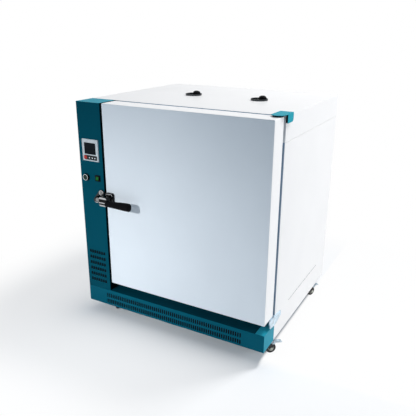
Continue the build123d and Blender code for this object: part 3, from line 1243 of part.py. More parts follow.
def exhaust_collar(x):
    """Collar on the roof with a half-closed floor and a centre pin, and the tube down to the chamber."""
    z = (ROOF, ROOF + COLLAR_HEIGHT)
    floor_z = (ROOF, ROOF + DAMPER_FLOOR)
    inner = COLLAR_RADIUS - COLLAR_WALL
    collar = rod("z", COLLAR_RADIUS, z, (0, 0)) - rod("z", inner, (floor_z[1], z[1] + 1), (0, 0))
    collar -= rod("z", TUBE_RADIUS, (ROOF - 1, floor_z[1] + 1), (0, 0))
    outer = TUBE_RADIUS + TUBE_WALL
    tube_z = (CHAMBER_ROOF + CHAMBER_SHEET, ROOF)
    tube = rod("z", outer, tube_z, (0, 0)) - rod("z", TUBE_RADIUS, (tube_z[0] - 1, tube_z[1] + 1), (0, 0))
    closed = half_disc(TUBE_RADIUS + 1, floor_z, 1)
    pin_top = floor_z[1] + DAMPER_GAP + DAMPER_THICKNESS - DAMPER_GAP
    hub = rod("z", DAMPER_HUB_RADIUS, floor_z, (0, 0))
    pin = rod("z", DAMPER_PIN_RADIUS, (floor_z[0], pin_top), (0, 0))
    return Pos(x, DAMPER_Y, 0) * (collar + [tube, closed, hub, pin])


def exhaust_collars():
    """Both collars."""
    return Compound([exhaust_collar(x) for x in DAMPERS_X.values()])


def damper_plate(x):
    """Half plate that turns about the collar's pin to close the open half."""
    low = ROOF + DAMPER_FLOOR + DAMPER_GAP
    z = (low, low + DAMPER_THICKNESS)
    plate = half_disc(COLLAR_RADIUS - COLLAR_WALL - DAMPER_EDGE_GAP, z, 1)
    hub = rod("z", DAMPER_HUB_RADIUS, z, (0, 0))
    bore = rod("z", DAMPER_PIN_RADIUS + RUNNING_CLEARANCE, (z[0] - 1, z[1] + 1), (0, 0))
    return Pos(x, DAMPER_Y, 0) * (plate + hub - bore)


def damper_knob(x):
    """Domed knob on the half plate."""
    base = ROOF + DAMPER_FLOOR + DAMPER_GAP + DAMPER_THICKNESS
    top = base + DAMPER_KNOB_SKIRT + DAMPER_KNOB_DOME
    ball_radius = (DAMPER_KNOB_RADIUS ** 2 + DAMPER_KNOB_DOME ** 2) / (2 * DAMPER_KNOB_DOME)
    ball = Pos(0, 0, top - ball_radius) * Sphere(ball_radius)
    knob = ball & rod("z", DAMPER_KNOB_RADIUS, (base, top), (0, 0))
    return Pos(x + DAMPER_KNOB_OFFSET, DAMPER_Y, 0) * knob


# Casters, drawn with the pivot at the middle, the mounting face at zero and the wheel trailing in +X


def caster_plate():
    """Fixed plate of a caster, with its bolt heads, ball race and kingpin."""
    plate = Pos(0, 0, -CASTER_PLATE / 2) * Box(CASTER_PLATE_SIZE, CASTER_PLATE_SIZE, CASTER_PLATE)
    plate = fillet(plate.edges().filter_by(Axis.Z), CASTER_PLATE_RADIUS)
    race = rod("z", RACEWAY_RADIUS, (-CASTER_PLATE - RACEWAY_DEPTH, -CASTER_PLATE), (0, 0))
    race = fillet(race.edges().sort_by(Axis.Z)[0], RACEWAY_EDGE_RADIUS)
    head_top = CROWN_BOTTOM - SWIVEL_GAP
    kingpin = rod("z", KINGPIN_RADIUS, (head_top - KINGPIN_HEAD, -CASTER_PLATE), (0, 0))
    head = rod("z", KINGPIN_HEAD_RADIUS, (head_top - KINGPIN_HEAD, head_top), (0, 0))
    reach = CASTER_PLATE_SIZE / 2 - CASTER_BOLT_INSET
    head_z = (-CASTER_PLATE - CASTER_BOLT_HEAD, -CASTER_PLATE)
    bolts = [rod("z", CASTER_BOLT_RADIUS, head_z, (sx * reach, sy * reach))
             for sx in (-1, 1) for sy in (-1, 1)]
    return plate + [race, kingpin, head] + bolts


def caster_leg(side):
    """One leg of the fork."""
    outline = Polyline(
        (-LEG_TOP_BACK, CROWN_TOP),
        (LEG_TOP_FRONT, CROWN_TOP),
        (LEG_TOP_FRONT, CROWN_BOTTOM - 4),
        (TRAIL + LEG_END_RADIUS, AXLE_Z),
        (TRAIL - LEG_END_RADIUS, AXLE_Z),
        (-LEG_TOP_BACK, CROWN_BOTTOM - 4),
        close=True,
    )
    inner = side * LEG_SPREAD
    leg = extrude(Plane.XZ.offset(-inner) * make_face(outline), -side * LEG_THICKNESS)
    span = sorted((inner, inner + side * LEG_THICKNESS))
    return leg + rod("y", LEG_END_RADIUS, span, (TRAIL, AXLE_Z))


def caster_fork():
    """Fork with its crown, two legs and the axle."""
    crown = rod("z", CROWN_RADIUS, (CROWN_BOTTOM, CROWN_TOP), (0, 0))
    half = LEG_SPREAD + LEG_THICKNESS
    axle = rod("y", AXLE_RADIUS, (-half - AXLE_HEAD, half + AXLE_HEAD), (TRAIL, AXLE_Z))
    heads = [rod("y", AXLE_HEAD_RADIUS, sorted((side * half, side * (half + AXLE_HEAD))), (TRAIL, AXLE_Z))
             for side in (-1, 1)]
    fork = crown + [caster_leg(-1), caster_leg(1), axle] + heads
    pin_place = (BRAKE_PIVOT_X, -BRAKE_PIVOT_DROP)
    fork -= rod("y", BRAKE_PIN_RADIUS + RUNNING_CLEARANCE, (-half - 1, half + 1), pin_place)
    return fork - rod("z", KINGPIN_RADIUS + RUNNING_CLEARANCE, (CROWN_BOTTOM - 1, CROWN_TOP + 1), (0, 0))


def caster_wheel():
    """Tyre and hub."""
    place = (TRAIL, AXLE_Z)
    tyre = rod("y", WHEEL_RADIUS, centred(0, WHEEL_WIDTH), place)
    tyre = fillet(tyre.edges(), TYRE_EDGE_RADIUS)
    hub_radius = WHEEL_RADIUS - TYRE_THICKNESS
    tyre -= rod("y", hub_radius + TYRE_SEAT, centred(0, WHEEL_WIDTH + 2), place)
    boss_length = 2 * (LEG_SPREAD - WHEEL_SIDE_GAP)
    rim = rod("y", hub_radius, centred(0, WHEEL_WIDTH), place) - rod(
        "y", hub_radius - RIM_THICKNESS, centred(0, WHEEL_WIDTH + 2), place)
    web = rod("y", hub_radius - RIM_THICKNESS / 2, centred(0, HUB_WEB), place)
    boss = rod("y", HUB_BOSS_RADIUS, centred(0, boss_length), place)
    bore = rod("y", AXLE_RADIUS + RUNNING_CLEARANCE, centred(0, boss_length + 2), place)
    return Compound([tyre, rim + [web, boss] - bore])


def caster_brake():
    """Brake pedal with two ears outside the fork's legs, and its pivot pin."""
    inner = LEG_SPREAD + LEG_THICKNESS + BRAKE_EAR_GAP
    outer = inner + BRAKE_EAR
    place = (BRAKE_PIVOT_X, -BRAKE_PIVOT_DROP)
    top = -BRAKE_PIVOT_DROP + BRAKE_EAR_RADIUS
    plate_z = (top - BRAKE_PLATE, top)
    ears = []
    for side in (-1, 1):
        span = sorted((side * inner, side * outer))
        ear = rod("y", BRAKE_EAR_RADIUS, span, place)
        ear_x = (BRAKE_PIVOT_X, BRAKE_PLATE_START + BRAKE_BRIDGE)
        ears.append(ear + block(ear_x, span, (top - 2 * BRAKE_EAR_RADIUS, top)))
    bridge = block((BRAKE_PLATE_START, BRAKE_PLATE_START + BRAKE_BRIDGE), (-outer, outer), plate_z)
    length = BRAKE_REACH - BRAKE_PLATE_START
    pedal = Pos(length / 2, 0, -BRAKE_PLATE / 2) * Box(length, 2 * BRAKE_HALF_WIDTH, BRAKE_PLATE)
    tip_edges = pedal.edges().filter_by(Axis.Z).sort_by(Axis.X)[-2:]
    pedal = Pos(BRAKE_PLATE_START, 0, top) * Rot(0, BRAKE_SLOPE, 0) * fillet(tip_edges, BRAKE_TIP_RADIUS)
    pin = rod("y", BRAKE_PIN_RADIUS, (-outer, outer), place)
    return ears[0] + [ears[1], bridge, pedal, pin]


def on_caster(name, shape):
    """Turn a caster's piece to its trailing angle and move it under the cabinet."""
    x, y = CASTER_PLACES[name]
    return Pos(x, y, 0) * Rot(0, 0, CASTER_ANGLES[name]) * shape


def all_nodes():
    """Every piece by its name."""
    nodes = {
        "chassis": chassis(),
        "side_panel_left": side_panel(),
        "side_panel_right": side_panel_right(),
        "back_panel": back_panel(),
        "top_cover": top_cover(),
        "front_frame": front_frame(),
        "control_column": control_column(),
        "plinth": plinth(),
        "inner_chamber": inner_chamber(),
        "insulation": insulation(),
        "chamber_floor": chamber_floor(),
        "air_baffle": air_baffle(),
        "shelf_rails": shelf_rails(),
        "heater_elements": heater_elements(),
        "fan_motor": fan_motor(),
        "fan_shaft": fan_shaft(),
        "fan_wheel": fan_wheel(),
        "temperature_probe": temperature_probe(),
        "relay": relay(),
        "cable_gland": cable_gland(),
        "controller_case": controller_case(),
        "controller_screen": controller_screen(),
        "set_key": set_key(),
        "button_bezel": button_bezel(),
        "push_button": push_button(),
        "rocker_bezel": rocker_bezel(),
        "power_rocker": power_rocker(),
        "keeper_bracket": keeper_bracket(),
        "keeper_screws": keeper_screws(),
        "keeper_roller": keeper_roller(),
        "latch_base": latch_base(),
        "latch_lever": latch_lever(),
        "latch_grip": latch_grip(),
        "door_skin": door_skin(),
        "door_insulation": door_insulation(),
        "door_liner": door_liner(),
        "door_gasket": door_gasket(),
        "upper_hinge_bracket": upper_hinge_bracket(),
        "lower_hinge_bracket": lower_hinge_bracket(),
        "exhaust_collars": exhaust_collars(),
        "caster_plates": Compound([on_caster(name, caster_plate()) for name in CASTER_PLACES]),
    }
    for name, rail in SHELF_RAIL.items():
        nodes[f"shelf_{name}"] = shelf(RAIL_HEIGHTS[rail])
    for name, x in ROUND_KEYS_X.items():
        nodes[name] = round_key(x)
    for name, x in DAMPERS_X.items():
        nodes[f"damper_plate_{name}"] = damper_plate(x)
        nodes[f"damper_knob_{name}"] = damper_knob(x)
    for name in CASTER_PLACES:
        nodes[f"caster_fork_{name}"] = on_caster(name, caster_fork())
        nodes[f"caster_wheel_{name}"] = on_caster(name, caster_wheel())
    for name in BRAKED_CASTERS:
        nodes[f"caster_brake_{name}"] = on_caster(name, caster_brake())
    return nodes


def joint_places():
    """A point on each joint's axis, in the cabinet's frame."""
    places = {
        "door_hinge": (HINGE_X, HINGE_Y, DOOR_BOTTOM),
        "latch_turn": (SPINDLE_X, 0, SPINDLE_Z),
        "keeper_roller_spin": (ROLLER_X, -ROLLER_STANDOFF, ROLLER_Z),
        "fan_spin": (FAN_X, *FAN_CENTRE),
        "power_rocker_tilt": (ROCKER_CENTRE[0], ROCKER_PIVOT_DEPTH, ROCKER_CENTRE[1]),
        "gland_bore": (GLAND_PLACE[0], BODY_BACK, GLAND_PLACE[1]),
        "chamber_low": (CHAMBER_LEFT, CHAMBER_FRONT, CHAMBER_FLOOR),
        "chamber_high": (CHAMBER_RIGHT, CHAMBER_BACK, CHAMBER_ROOF),
        "shelf_space_low": (BAFFLE_X + SHEET, CHAMBER_FRONT, FLOOR_PLATE_Z + SHEET),
        "grip": (GRIP_X, -GRIP_STANDOFF, SPINDLE_Z),
        "roof": (0, DAMPER_Y, ROOF),
    }
    for name, x in DAMPERS_X.items():
        places[f"damper_{name}"] = (x, DAMPER_Y, ROOF)
    for name, (x, y) in CASTER_PLACES.items():
        angle = math.radians(CASTER_ANGLES[name])
        places[f"swivel_{name}"] = (x, y, 0)
        places[f"wheel_{name}"] = (x + TRAIL * math.cos(angle), y + TRAIL * math.sin(angle), AXLE_Z)
        places[f"brake_{name}"] = (
            x + BRAKE_PIVOT_X * math.cos(angle), y + BRAKE_PIVOT_X * math.sin(angle), -BRAKE_PIVOT_DROP)
    return places


def main():
    """Write one STEP file for each piece and print the joints' places in the part's frame."""
    os.makedirs("parts", exist_ok=True)
    for name, shape in all_nodes().items():
        export_step(to_floor(shape), f"parts/{name}.step")
    for name, point in joint_places().items():
        print(name, *[round(value - shift, 4) for value, shift in zip(point, ORIGIN)])


main()
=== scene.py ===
"""Finishes, small fittings, floor, lamps and camera for a forced-air drying oven on casters."""

import json
from functools import partial

import bpy
import numpy as np
from bpy.props import FloatProperty, FloatVectorProperty, IntProperty, PointerProperty
from bpy.types import Operator, Panel, PropertyGroup
from mathutils import Matrix, Vector


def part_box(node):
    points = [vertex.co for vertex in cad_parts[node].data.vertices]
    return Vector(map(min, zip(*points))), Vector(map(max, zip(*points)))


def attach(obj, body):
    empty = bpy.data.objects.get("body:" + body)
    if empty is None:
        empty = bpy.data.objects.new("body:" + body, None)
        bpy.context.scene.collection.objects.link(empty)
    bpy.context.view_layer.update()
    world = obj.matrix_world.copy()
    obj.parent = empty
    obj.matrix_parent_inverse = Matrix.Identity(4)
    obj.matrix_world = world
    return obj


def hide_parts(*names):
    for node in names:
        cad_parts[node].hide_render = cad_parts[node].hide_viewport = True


bl_info = {
    "name": "Drying Oven Finishes",
    "version": (1, 0, 0),
    "blender": (4, 5, 0),
    "location": "View3D > Sidebar > Oven",
    "description": "Finishes and small fittings for a forced-air drying oven",
    "category": "Object",
}

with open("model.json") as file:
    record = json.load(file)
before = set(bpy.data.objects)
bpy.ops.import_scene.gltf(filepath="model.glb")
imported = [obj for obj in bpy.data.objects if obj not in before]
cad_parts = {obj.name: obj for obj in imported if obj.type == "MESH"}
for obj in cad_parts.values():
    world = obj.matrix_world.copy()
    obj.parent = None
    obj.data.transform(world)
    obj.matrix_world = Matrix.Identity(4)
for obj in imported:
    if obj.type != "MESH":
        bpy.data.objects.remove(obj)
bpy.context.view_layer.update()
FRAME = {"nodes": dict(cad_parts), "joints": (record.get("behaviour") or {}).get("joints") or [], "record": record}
PARTS = FRAME["record"]["subparts"]
MM = 0.001
TAU = 2 * np.pi

# The cabinet's front left bottom corner, from which every place is given in millimetres.
CORNER = np.array([
    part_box("side_panel_left")[0].x,
    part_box("control_column")[0].y,
    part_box("chassis")[0].z,
])
X_AXIS, Y_AXIS, Z_AXIS = np.eye(3)


def colour(name, description, value):
    """A colour that the user can change."""
    return FloatVectorProperty(
        name=name, description=description, default=value, size=3, subtype="COLOR", min=0, max=1
    )


def length(name, description, value):
    """A length in metres that the user can change."""
    return FloatProperty(
        name=name, description=description, default=value, min=0, unit="LENGTH", precision=5
    )


def power(name, description, value):
    """A lamp's power in watts that the user can change."""
    return FloatProperty(name=name, description=description, default=value, unit="POWER")


def count(name, description, value, least):
    """A number of like features that the user can change."""
    return IntProperty(name=name, description=description, default=value, min=least)


class OvenColours(PropertyGroup):
    """Colours of the oven's finishes."""

    body: colour("Body", "Paint on the roof, the sides and the back", (0.912, 0.887, 0.867))
    front: colour("Front", "Paint on the column, the plinth and the upper hinge", (0.0005, 0.095, 0.145))
    door: colour("Door", "Paint on the door's outer sheet", (0.775, 0.83, 0.875))
    seal: colour("Door seal", "Silicone seal round the chamber's mouth", (0.30, 0.38, 0.45))
    steel: colour("Steel", "Rolled stainless steel of the chamber", (0.60, 0.61, 0.62))
    # Painted shade: a darker, bluer steel than the chamber's, for the shade in the gap beside the door.
    frame: colour("Front frame", "Steel frame that shows in the gap beside the door", (0.30, 0.40, 0.52))
    zinc: colour("Zinc", "Galvanised steel of the base and the casters", (0.42, 0.50, 0.56))
    dark: colour("Dark steel", "Blackened steel of the keeper and the dampers", (0.045, 0.050, 0.055))
    chrome: colour("Chrome", "Polished fittings", (0.80, 0.82, 0.85))
    black: colour("Black plastic", "Grip, knobs and bezels", (0.002, 0.002, 0.003))
    case: colour("Controller case", "Moulded case of the temperature controller", (0.55, 0.60, 0.63))
    set_key: colour("Set key", "Red key of the controller", (0.44, 0.036, 0.03))
    lamp: colour("Rocker lens", "Green lens of the power switch", (0.0, 0.12, 0.012))
    tyre: colour("Tyre", "Rubber of the casters", (0.012, 0.012, 0.013))
    hub: colour("Caster hub", "Moulded hubs and axle caps of the casters", (0.50, 0.50, 0.42))


class OvenSizes(PropertyGroup):
    """Sizes of the oven's textures and fittings."""

    peel: length("Paint texture", "Distance between the bumps of the powder coat", 0.0032)
    grip_neck: length("Grip neck", "Height of the latch grip at the hub", 0.028)
    grip_end: length("Grip end", "Height of the latch grip near its end", 0.039)
    bead: length("Bead", "Radius of the polished bead on the latch base", 0.0013)
    screw: length("Screw head", "Radius of the panel screws' heads", 0.0042)
    knob_ridges: count("Knob ridges", "Ridges round a damper knob", 36, 3)
    seal_ribs: count("Seal ribs", "Ribs across the depth of the seal", 3, 1)


class OvenStage(PropertyGroup):
    """Floor, lamps and camera."""

    floor: colour("Floor", "Colour of the floor", (0.93, 0.94, 0.95))
    world: colour("World", "Light from all round", (0.64, 0.81, 1.0))
    world_level: FloatProperty(
        name="World level", description="Strength of the light from all round", default=0.27
    )
    key: power("Key lamp", "Power of the high lamp behind the right side", 162)
    side: power("Side lamp", "Power of the lamp at the right", 33)
    fill: power("Fill lamp", "Power of the low lamp in front", 0.6)
    spot: power("Spot lamp", "Power of the lamp at the upper left", 3.8)
    lens: FloatProperty(name="Lens", description="Focal length on a 36 mm frame", default=44.442, min=1)


def place(x, y, z):
    """A point in the frame, from millimetres right of, behind and above the cabinet's corner."""
    return CORNER + np.array([x, y, z]) * MM


def box(node):
    """A node's lowest and highest corner."""
    return [np.array(corner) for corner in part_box(node)]


def within(node, *shares):
    """The point at a share of the way along each side of a node's box."""
    low, high = box(node)
    return low + (high - low) * shares


def front(node):
    """The middle of the front of a node's box, its width and its height."""
    low, high = box(node)
    width, _, height = high - low
    return within(node, 0.5, 0, 0.5), width, height


# The middle of the strip round the controller's keys, on the case's front.
KEY_STRIP = place(74, -5, 787)


# Surfaces


def smooth(value):
    """Runs from 0 to 1 with level ends, as 3t squared less 2t cubed."""
    t = np.clip(value, 0, 1)
    return t * t * (3 - 2 * t)


def full_turn(steps):
    """Evenly spaced angles round a circle."""
    return np.linspace(0, TAU, steps, endpoint=False)


def power_curve(angle, exponent):
    """Cosine and sine of an angle, each raised to 2 / exponent with its sign kept: a superellipse."""
    c, s = np.cos(angle), np.sin(angle)
    share = 2 / exponent
    return np.sign(c) * np.abs(c) ** share, np.sign(s) * np.abs(s) ** share


def skin(name, rings, joined=False, crease=35):
    """A mesh over a grid of points. Each row is a closed ring, and neighbouring rings are joined by quads.
    The end rings are closed by a face each, or meet when the skin is joined end to end."""
    rows, columns = rings.shape[:2]
    index = np.arange(rows * columns).reshape(rows, columns)
    if joined:
        index = np.vstack([index, index[:1]])
    here, there = index[:-1], index[1:]
    quads = np.stack([here, np.roll(here, -1, 1), np.roll(there, -1, 1), there], axis=-1).reshape(-1, 4)
    points = rings.reshape(-1, 3)
    corner = points[quads]
    volume = (corner[:, 0] * np.cross(corner[:, 2], corner[:, 3] - corner[:, 1])).sum()
    faces = quads.tolist()
    if not joined:
        caps = [index[0][::-1].tolist(), index[-1].tolist()]
        for cap in caps:
            fan = points[cap]
            volume += (fan[0] * np.cross(fan[1:-1], fan[2:])).sum()
        faces += caps
    if volume < 0:
        faces = [face[::-1] for face in faces]
    mesh = bpy.data.meshes.new(name)
    mesh.from_pydata(points, [], faces)
    mesh.update()
    mesh.shade_smooth()
    mesh.set_sharp_from_angle(angle=np.radians(crease))
    piece = bpy.data.objects.new(name, mesh)
    bpy.context.scene.collection.objects.link(piece)
    return piece


def layered(name, middle, u, v, lift, right, up, normal, crease=35, joined=False):
    """A skin over a grid of points: the middle, plus u to the right, v up and lift along the normal."""
    rings = middle + u[..., None] * right + v[..., None] * up + lift[..., None] * normal
    return skin(name, rings, joined, crease)


def across(axis):
    """Two unit vectors at right angles to an axis and to each other."""
    start = X_AXIS if abs(axis[0]) < 0.9 else Z_AXIS
    first = np.cross(axis, start)
    first /= np.linalg.norm(first)
    return first, np.cross(axis, first)


def turned(name, origin, axis, along, radius, steps=64, ridges=0, depth=None, joined=False, crease=35):
    """A profile carried round an axis: a point is the origin, plus its distance along the axis, plus its
    radius towards the angle. Ridges take a cosine of the angle off the radius, as deep as depth says."""
    angle = full_turn(steps)
    first, second = across(axis)
    reach = radius[:, None] * np.ones(steps)
    if ridges:
        reach -= depth[:, None] * (0.5 - 0.5 * np.cos(ridges * angle))
    u, v = reach * np.cos(angle), reach * np.sin(angle)
    return layered(name, origin, u, v, along[:, None], first, second, axis, crease, joined)


def rounded_loop(width, height, radius, steps=8):
    """Points and outward directions round a rectangle with arcs at its corners. Each arc is its centre
    plus the radius times the direction, and the direction turns a quarter in each corner."""
    turn = np.linspace(0, TAU / 4, steps)
    angle = (np.arange(4)[:, None] * TAU / 4 + turn).ravel()
    side = np.array([[1, 1], [-1, 1], [-1, -1], [1, -1]]) * [width / 2 - radius, height / 2 - radius]
    out = np.stack([np.cos(angle), np.sin(angle)], axis=-1)
    return np.repeat(side, steps, axis=0) + radius * out, out


def frame_round(name, middle, width, height, radius, out, deep, crease):
    """A closed profile carried round a rounded rectangle that stands on edge. A point is the loop's point,
    plus the profile's first number along the outward direction, plus its second one along Y."""
    loop, outward = rounded_loop(width, height, radius)
    u, v = (loop[:, None] + out[:, None] * outward[:, None]).transpose(2, 0, 1)
    return layered(name, middle, u, v, deep[None], X_AXIS, Z_AXIS, Y_AXIS, crease, True)


def pad(name, middle, width, height, thickness, normal, right, exponent, edge=0.3):
    """A flat-backed pad with a superellipse outline. Its rings go up a wall, shrink over a quarter round
    and run level to the middle."""
    wall = 0.4
    edge_run = np.linspace(0, TAU / 4, 6)
    inner = np.linspace(1 - edge, 0.02, 8)[1:]
    share = np.concatenate([[1.0], 1 - edge * (1 - np.cos(edge_run)), inner])
    lift = np.concatenate([[0.0], wall + (1 - wall) * np.sin(edge_run), np.ones_like(inner)]) * thickness
    c, s = power_curve(full_turn(48), exponent)
    u, v = share[:, None] * c * width / 2, share[:, None] * s * height / 2
    return layered(name, middle, u, v, lift[:, None], right, np.cross(right, normal), normal)


# Finishes


def math_node(operation, swapped=False):
    """A method that adds a Math node for its own value and another one, which may come first."""

    def method(value, other):
        return value.maths(operation, *((other, value) if swapped else (value, other)))

    return method


class Value:
    """A node's output that takes part in Python's arithmetic: each operation adds a Math node."""

    def __init__(self, nodes, socket):
        self.nodes = nodes
        self.socket = socket

    def maths(self, operation, *values):
        return self.nodes.node("ShaderNodeMath", {"operation": operation}, dict(enumerate(values)))

    __add__ = math_node("ADD")
    __radd__ = math_node("ADD", swapped=True)
    __sub__ = math_node("SUBTRACT")
    __rsub__ = math_node("SUBTRACT", swapped=True)
    __mul__ = math_node("MULTIPLY")
    __rmul__ = math_node("MULTIPLY", swapped=True)
    __truediv__ = math_node("DIVIDE")
    __pow__ = math_node("POWER")
    __rpow__ = math_node("POWER", swapped=True)
    __lt__ = math_node("LESS_THAN")
    __gt__ = math_node("GREATER_THAN")
    above = math_node("MAXIMUM")

    def __abs__(self):
        return self.maths("ABSOLUTE", self)

    def clamped(self):
        return self.maths("MINIMUM", self.above(0.0), 1.0)


class Nodes:
    """A material or a world that is being put together from nodes."""

    def __init__(self, owner):
        self.owner = owner
        owner.use_nodes = True
        self.tree = owner.node_tree
        self.tree.nodes.clear()

    def node(self, kind, settings, sockets, output=0):
        """Add a node: its settings first, then its sockets' values or links. Returns one of its outputs."""
        made = self.tree.nodes.new(kind)
        for key, value in settings.items():
            setattr(made, key, value)
        for key, value in sockets.items():
            socket = made.inputs[key]
            if isinstance(value, Value):
                self.tree.links.new(value.socket, socket)
            elif socket.type == "RGBA":
                socket.default_value = (*tuple(value)[:3], 1)
            else:
                socket.default_value = value
        return Value(self, made.outputs[output])

    def seen(self):
        """1 for what the camera, a mirror or glass sees, and 0 for other light."""
        camera, mirror, glass = (
            self.node("ShaderNodeLightPath", {}, {}, "Is %s Ray" % kind)
            for kind in ("Camera", "Glossy", "Transmission")
        )
        return (camera + mirror + glass).clamped()

    def end(self, kind, surface):
        """Link the surface to an output node. Returns the material or the world."""
        output = self.tree.nodes.new(kind)
        self.tree.links.new(surface.socket, output.inputs["Surface"])
        return self.owner


class Finish(Nodes):
    """A material with textures that lie in its object's coordinates."""

    def __init__(self, name="finish"):
        super().__init__(bpy.data.materials.new(name))
        self.here = self.node("ShaderNodeTexCoord", {}, {}, "Object")

    def parts(self, vector):
        """A vector's three numbers."""
        return [self.node("ShaderNodeSeparateXYZ", {}, {0: vector}, axis) for axis in range(3)]

    def axes(self):
        """The object coordinates, as three numbers."""
        return self.parts(self.here)

    def facing(self):
        """The surface's direction in the object's own axes, as three numbers."""
        return self.parts(self.node("ShaderNodeTexCoord", {}, {}, "Normal"))

    def noise(self, scale, detail=2.0, stretch=(1, 1, 1), rough=0.5):
        """Noise on the object coordinates, with its own stretch along each axis."""
        mapped = self.node("ShaderNodeMapping", {}, {"Vector": self.here, "Scale": stretch})
        sockets = {"Vector": mapped, "Scale": scale, "Detail": detail, "Roughness": rough}
        return self.node("ShaderNodeTexNoise", {}, sockets)

    def blend(self, share, first, second):
        """Two colours mixed by a share."""
        sockets = {"Factor": share, 6: first, 7: second}
        return self.node("ShaderNodeMix", {"data_type": "RGBA"}, sockets, 2)

    def mottle(self, share, colour, low, high):
        """A colour that runs by a share between two factors of itself."""
        return self.blend(share, shade(colour, low), shade(colour, high))

    def relief(self, height, distance, strength):
        """A normal from a height that is worth a distance in metres."""
        sockets = {"Height": height, "Distance": distance, "Strength": strength}
        return self.node("ShaderNodeBump", {}, sockets)

    def shader(self, **sockets):
        """The Principled shader and the output."""
        names = {key.replace("_", " "): value for key, value in sockets.items()}
        surface = self.node("ShaderNodeBsdfPrincipled", {}, names)
        return self.end("ShaderNodeOutputMaterial", surface)


def shade(value, factor):
    """A colour made lighter or darker."""
    return tuple(min(1.0, channel * factor) for channel in value)


def powder_coat(paint, peel, gloss=0.34, specular=0.5, top=None, right=None):
    """Baked powder coat: fine orange peel, a soft mottle in the colour, and slightly uneven gloss. What
    faces up or right may take a lighter or darker copy of the paint, painted light and painted shade,
    and what faces up at the far right takes the right one, a painted pool of light. The long groove of
    the right side is painted dark, a painted shade in the recess."""
    finish = Finish()
    grain = finish.noise(1 / peel, detail=1.0)
    cloud = finish.noise(4.0, detail=3.0)
    wiped = finish.noise(14.0, detail=4.0, stretch=(1, 1, 0.25))
    base = finish.mottle(cloud, paint, 0.965, 1.035)
    x, _, z = finish.axes()
    facing_x, _, facing_z = finish.facing()
    towards = 0.7
    # Painted light and shade: faces that point up or right take their own copy of the paint, and up-facing faces
    # past 955 mm take the right one, a painted pool of light.
    if top:
        painted_light_start_x, _, _ = place(955, 0, 0)
        base = finish.blend(facing_z > towards, base, finish.blend(x > painted_light_start_x, top, right))
    if right:
        base = finish.blend(facing_x > towards, base, right)
    # Painted shade: the groove takes the paint darkened by the factor below, standing in for the shade that falls
    # in the recess.
    groove_x, _, groove_z = place(999.8, 0, 124)
    depth, half_width, dust = 1.6 * MM, 1.5 * MM, 0.06
    groove = (x < groove_x) * (x > groove_x - depth) * (abs(z - groove_z) < half_width)
    return finish.shader(
        Base_Color=finish.blend(groove, base, shade(paint, dust)),
        Roughness=gloss + 0.10 * wiped,
        IOR=1.45,
        Specular_IOR_Level=specular,
        Normal=finish.relief(grain, 0.06 * MM, 0.5),
    )


def rolled_steel(metal, stretch=(1, 1, 60), rough=0.26):
    """Rolled or brushed sheet: long fine lines in the gloss and the height."""
    finish = Finish()
    lines = finish.noise(30.0, detail=4.0, stretch=stretch, rough=0.6)
    cloud = finish.noise(6.0)
    return finish.shader(
        Base_Color=finish.mottle(lines, metal, 0.86, 1.12),
        Metallic=1.0,
        Roughness=rough + 0.14 * lines + 0.06 * cloud,
        Normal=finish.relief(lines, 0.02 * MM, 0.4),
    )


def spangled_zinc(metal):
    """Hot-dip galvanised sheet: flat crystals that each have their own grey and gloss."""
    finish = Finish()
    cells = {"Vector": finish.here, "Scale": 75.0}
    crystal = finish.node("ShaderNodeTexVoronoi", {"feature": "F1"}, cells, "Color")
    tone = finish.node("ShaderNodeSeparateColor", {}, {0: crystal})
    dust = finish.noise(40.0, detail=4.0)
    return finish.shader(
        Base_Color=finish.mottle(tone, metal, 0.78, 1.18),
        Metallic=1.0,
        Roughness=0.30 + 0.16 * tone + 0.10 * dust,
        Normal=finish.relief(dust, 0.03 * MM, 0.4),
    )


def chrome_plate(metal, top=0.62, slots=()):
    """Polished plating with a painted reflection: its colour is bright where it faces the front and, by its
    share, up, and dark where it faces the sides; its slots are painted dark, a painted shade; with a
    faint ripple and light wiping marks in the gloss."""
    finish = Finish()
    ripple = finish.noise(120.0)
    wiped = finish.noise(60.0, detail=4.0, stretch=(1, 1, 4))
    _, facing_y, facing_z = finish.facing()
    # Painted reflection: how far the surface faces the front and up sets how bright the plating's colour is.
    front_share, start, gain, dark = 0.72, 0.34, 4.0, 0.035
    lit = ((top * facing_z.above(0.0) - front_share * facing_y - start) * gain).clamped()
    _, y, z = finish.axes()
    # Painted shade: the bands of the lever's slots are darkened in the colour.
    for front_y, middle, half in slots:
        lit = lit * (1 - (abs(z - middle) < half) * (y < front_y))
    reflection_bright = finish.mottle(wiped, metal, 0.92, 1.05)
    return finish.shader(
        Base_Color=finish.blend(lit, shade(metal, dark), reflection_bright),
        Metallic=1.0,
        Roughness=0.05 + 0.13 * wiped,
        Normal=finish.relief(ripple, 0.05 * MM, 0.5),
    )


def moulded(tint, gloss, grain=0.6 * MM, height=0.03 * MM, specular=0.5):
    """Moulded plastic: fine spark-eroded grain and a slight change of tone."""
    finish = Finish()
    texture = finish.noise(1 / grain)
    cloud = finish.noise(25.0, detail=3.0)
    return finish.shader(
        Base_Color=finish.mottle(cloud, tint, 0.9, 1.12),
        Roughness=gloss + 0.08 * cloud,
        Specular_IOR_Level=specular,
        Normal=finish.relief(texture, height, 0.5),
    )


def controller_plastic(tint, dark):
    """Case plastic, black on the front of the strip round the keys."""
    finish = Finish()
    x, y, z = finish.axes()
    texture = finish.noise(1500.0)
    cloud = finish.noise(30.0, detail=3.0)
    middle_x, _, middle_z = KEY_STRIP
    half_width, half_height = 36.5 * MM, 9.8 * MM
    strip = (abs(x - middle_x) < half_width) * (abs(z - middle_z) < half_height) * (y < CORNER[1])
    case = finish.mottle(cloud, tint, 0.93, 1.07)
    return finish.shader(
        Base_Color=finish.blend(strip, case, dark),
        Roughness=0.42 + 0.06 * cloud,
        Specular_IOR_Level=0.3,
        Normal=finish.relief(texture, 0.03 * MM, 0.4),
    )


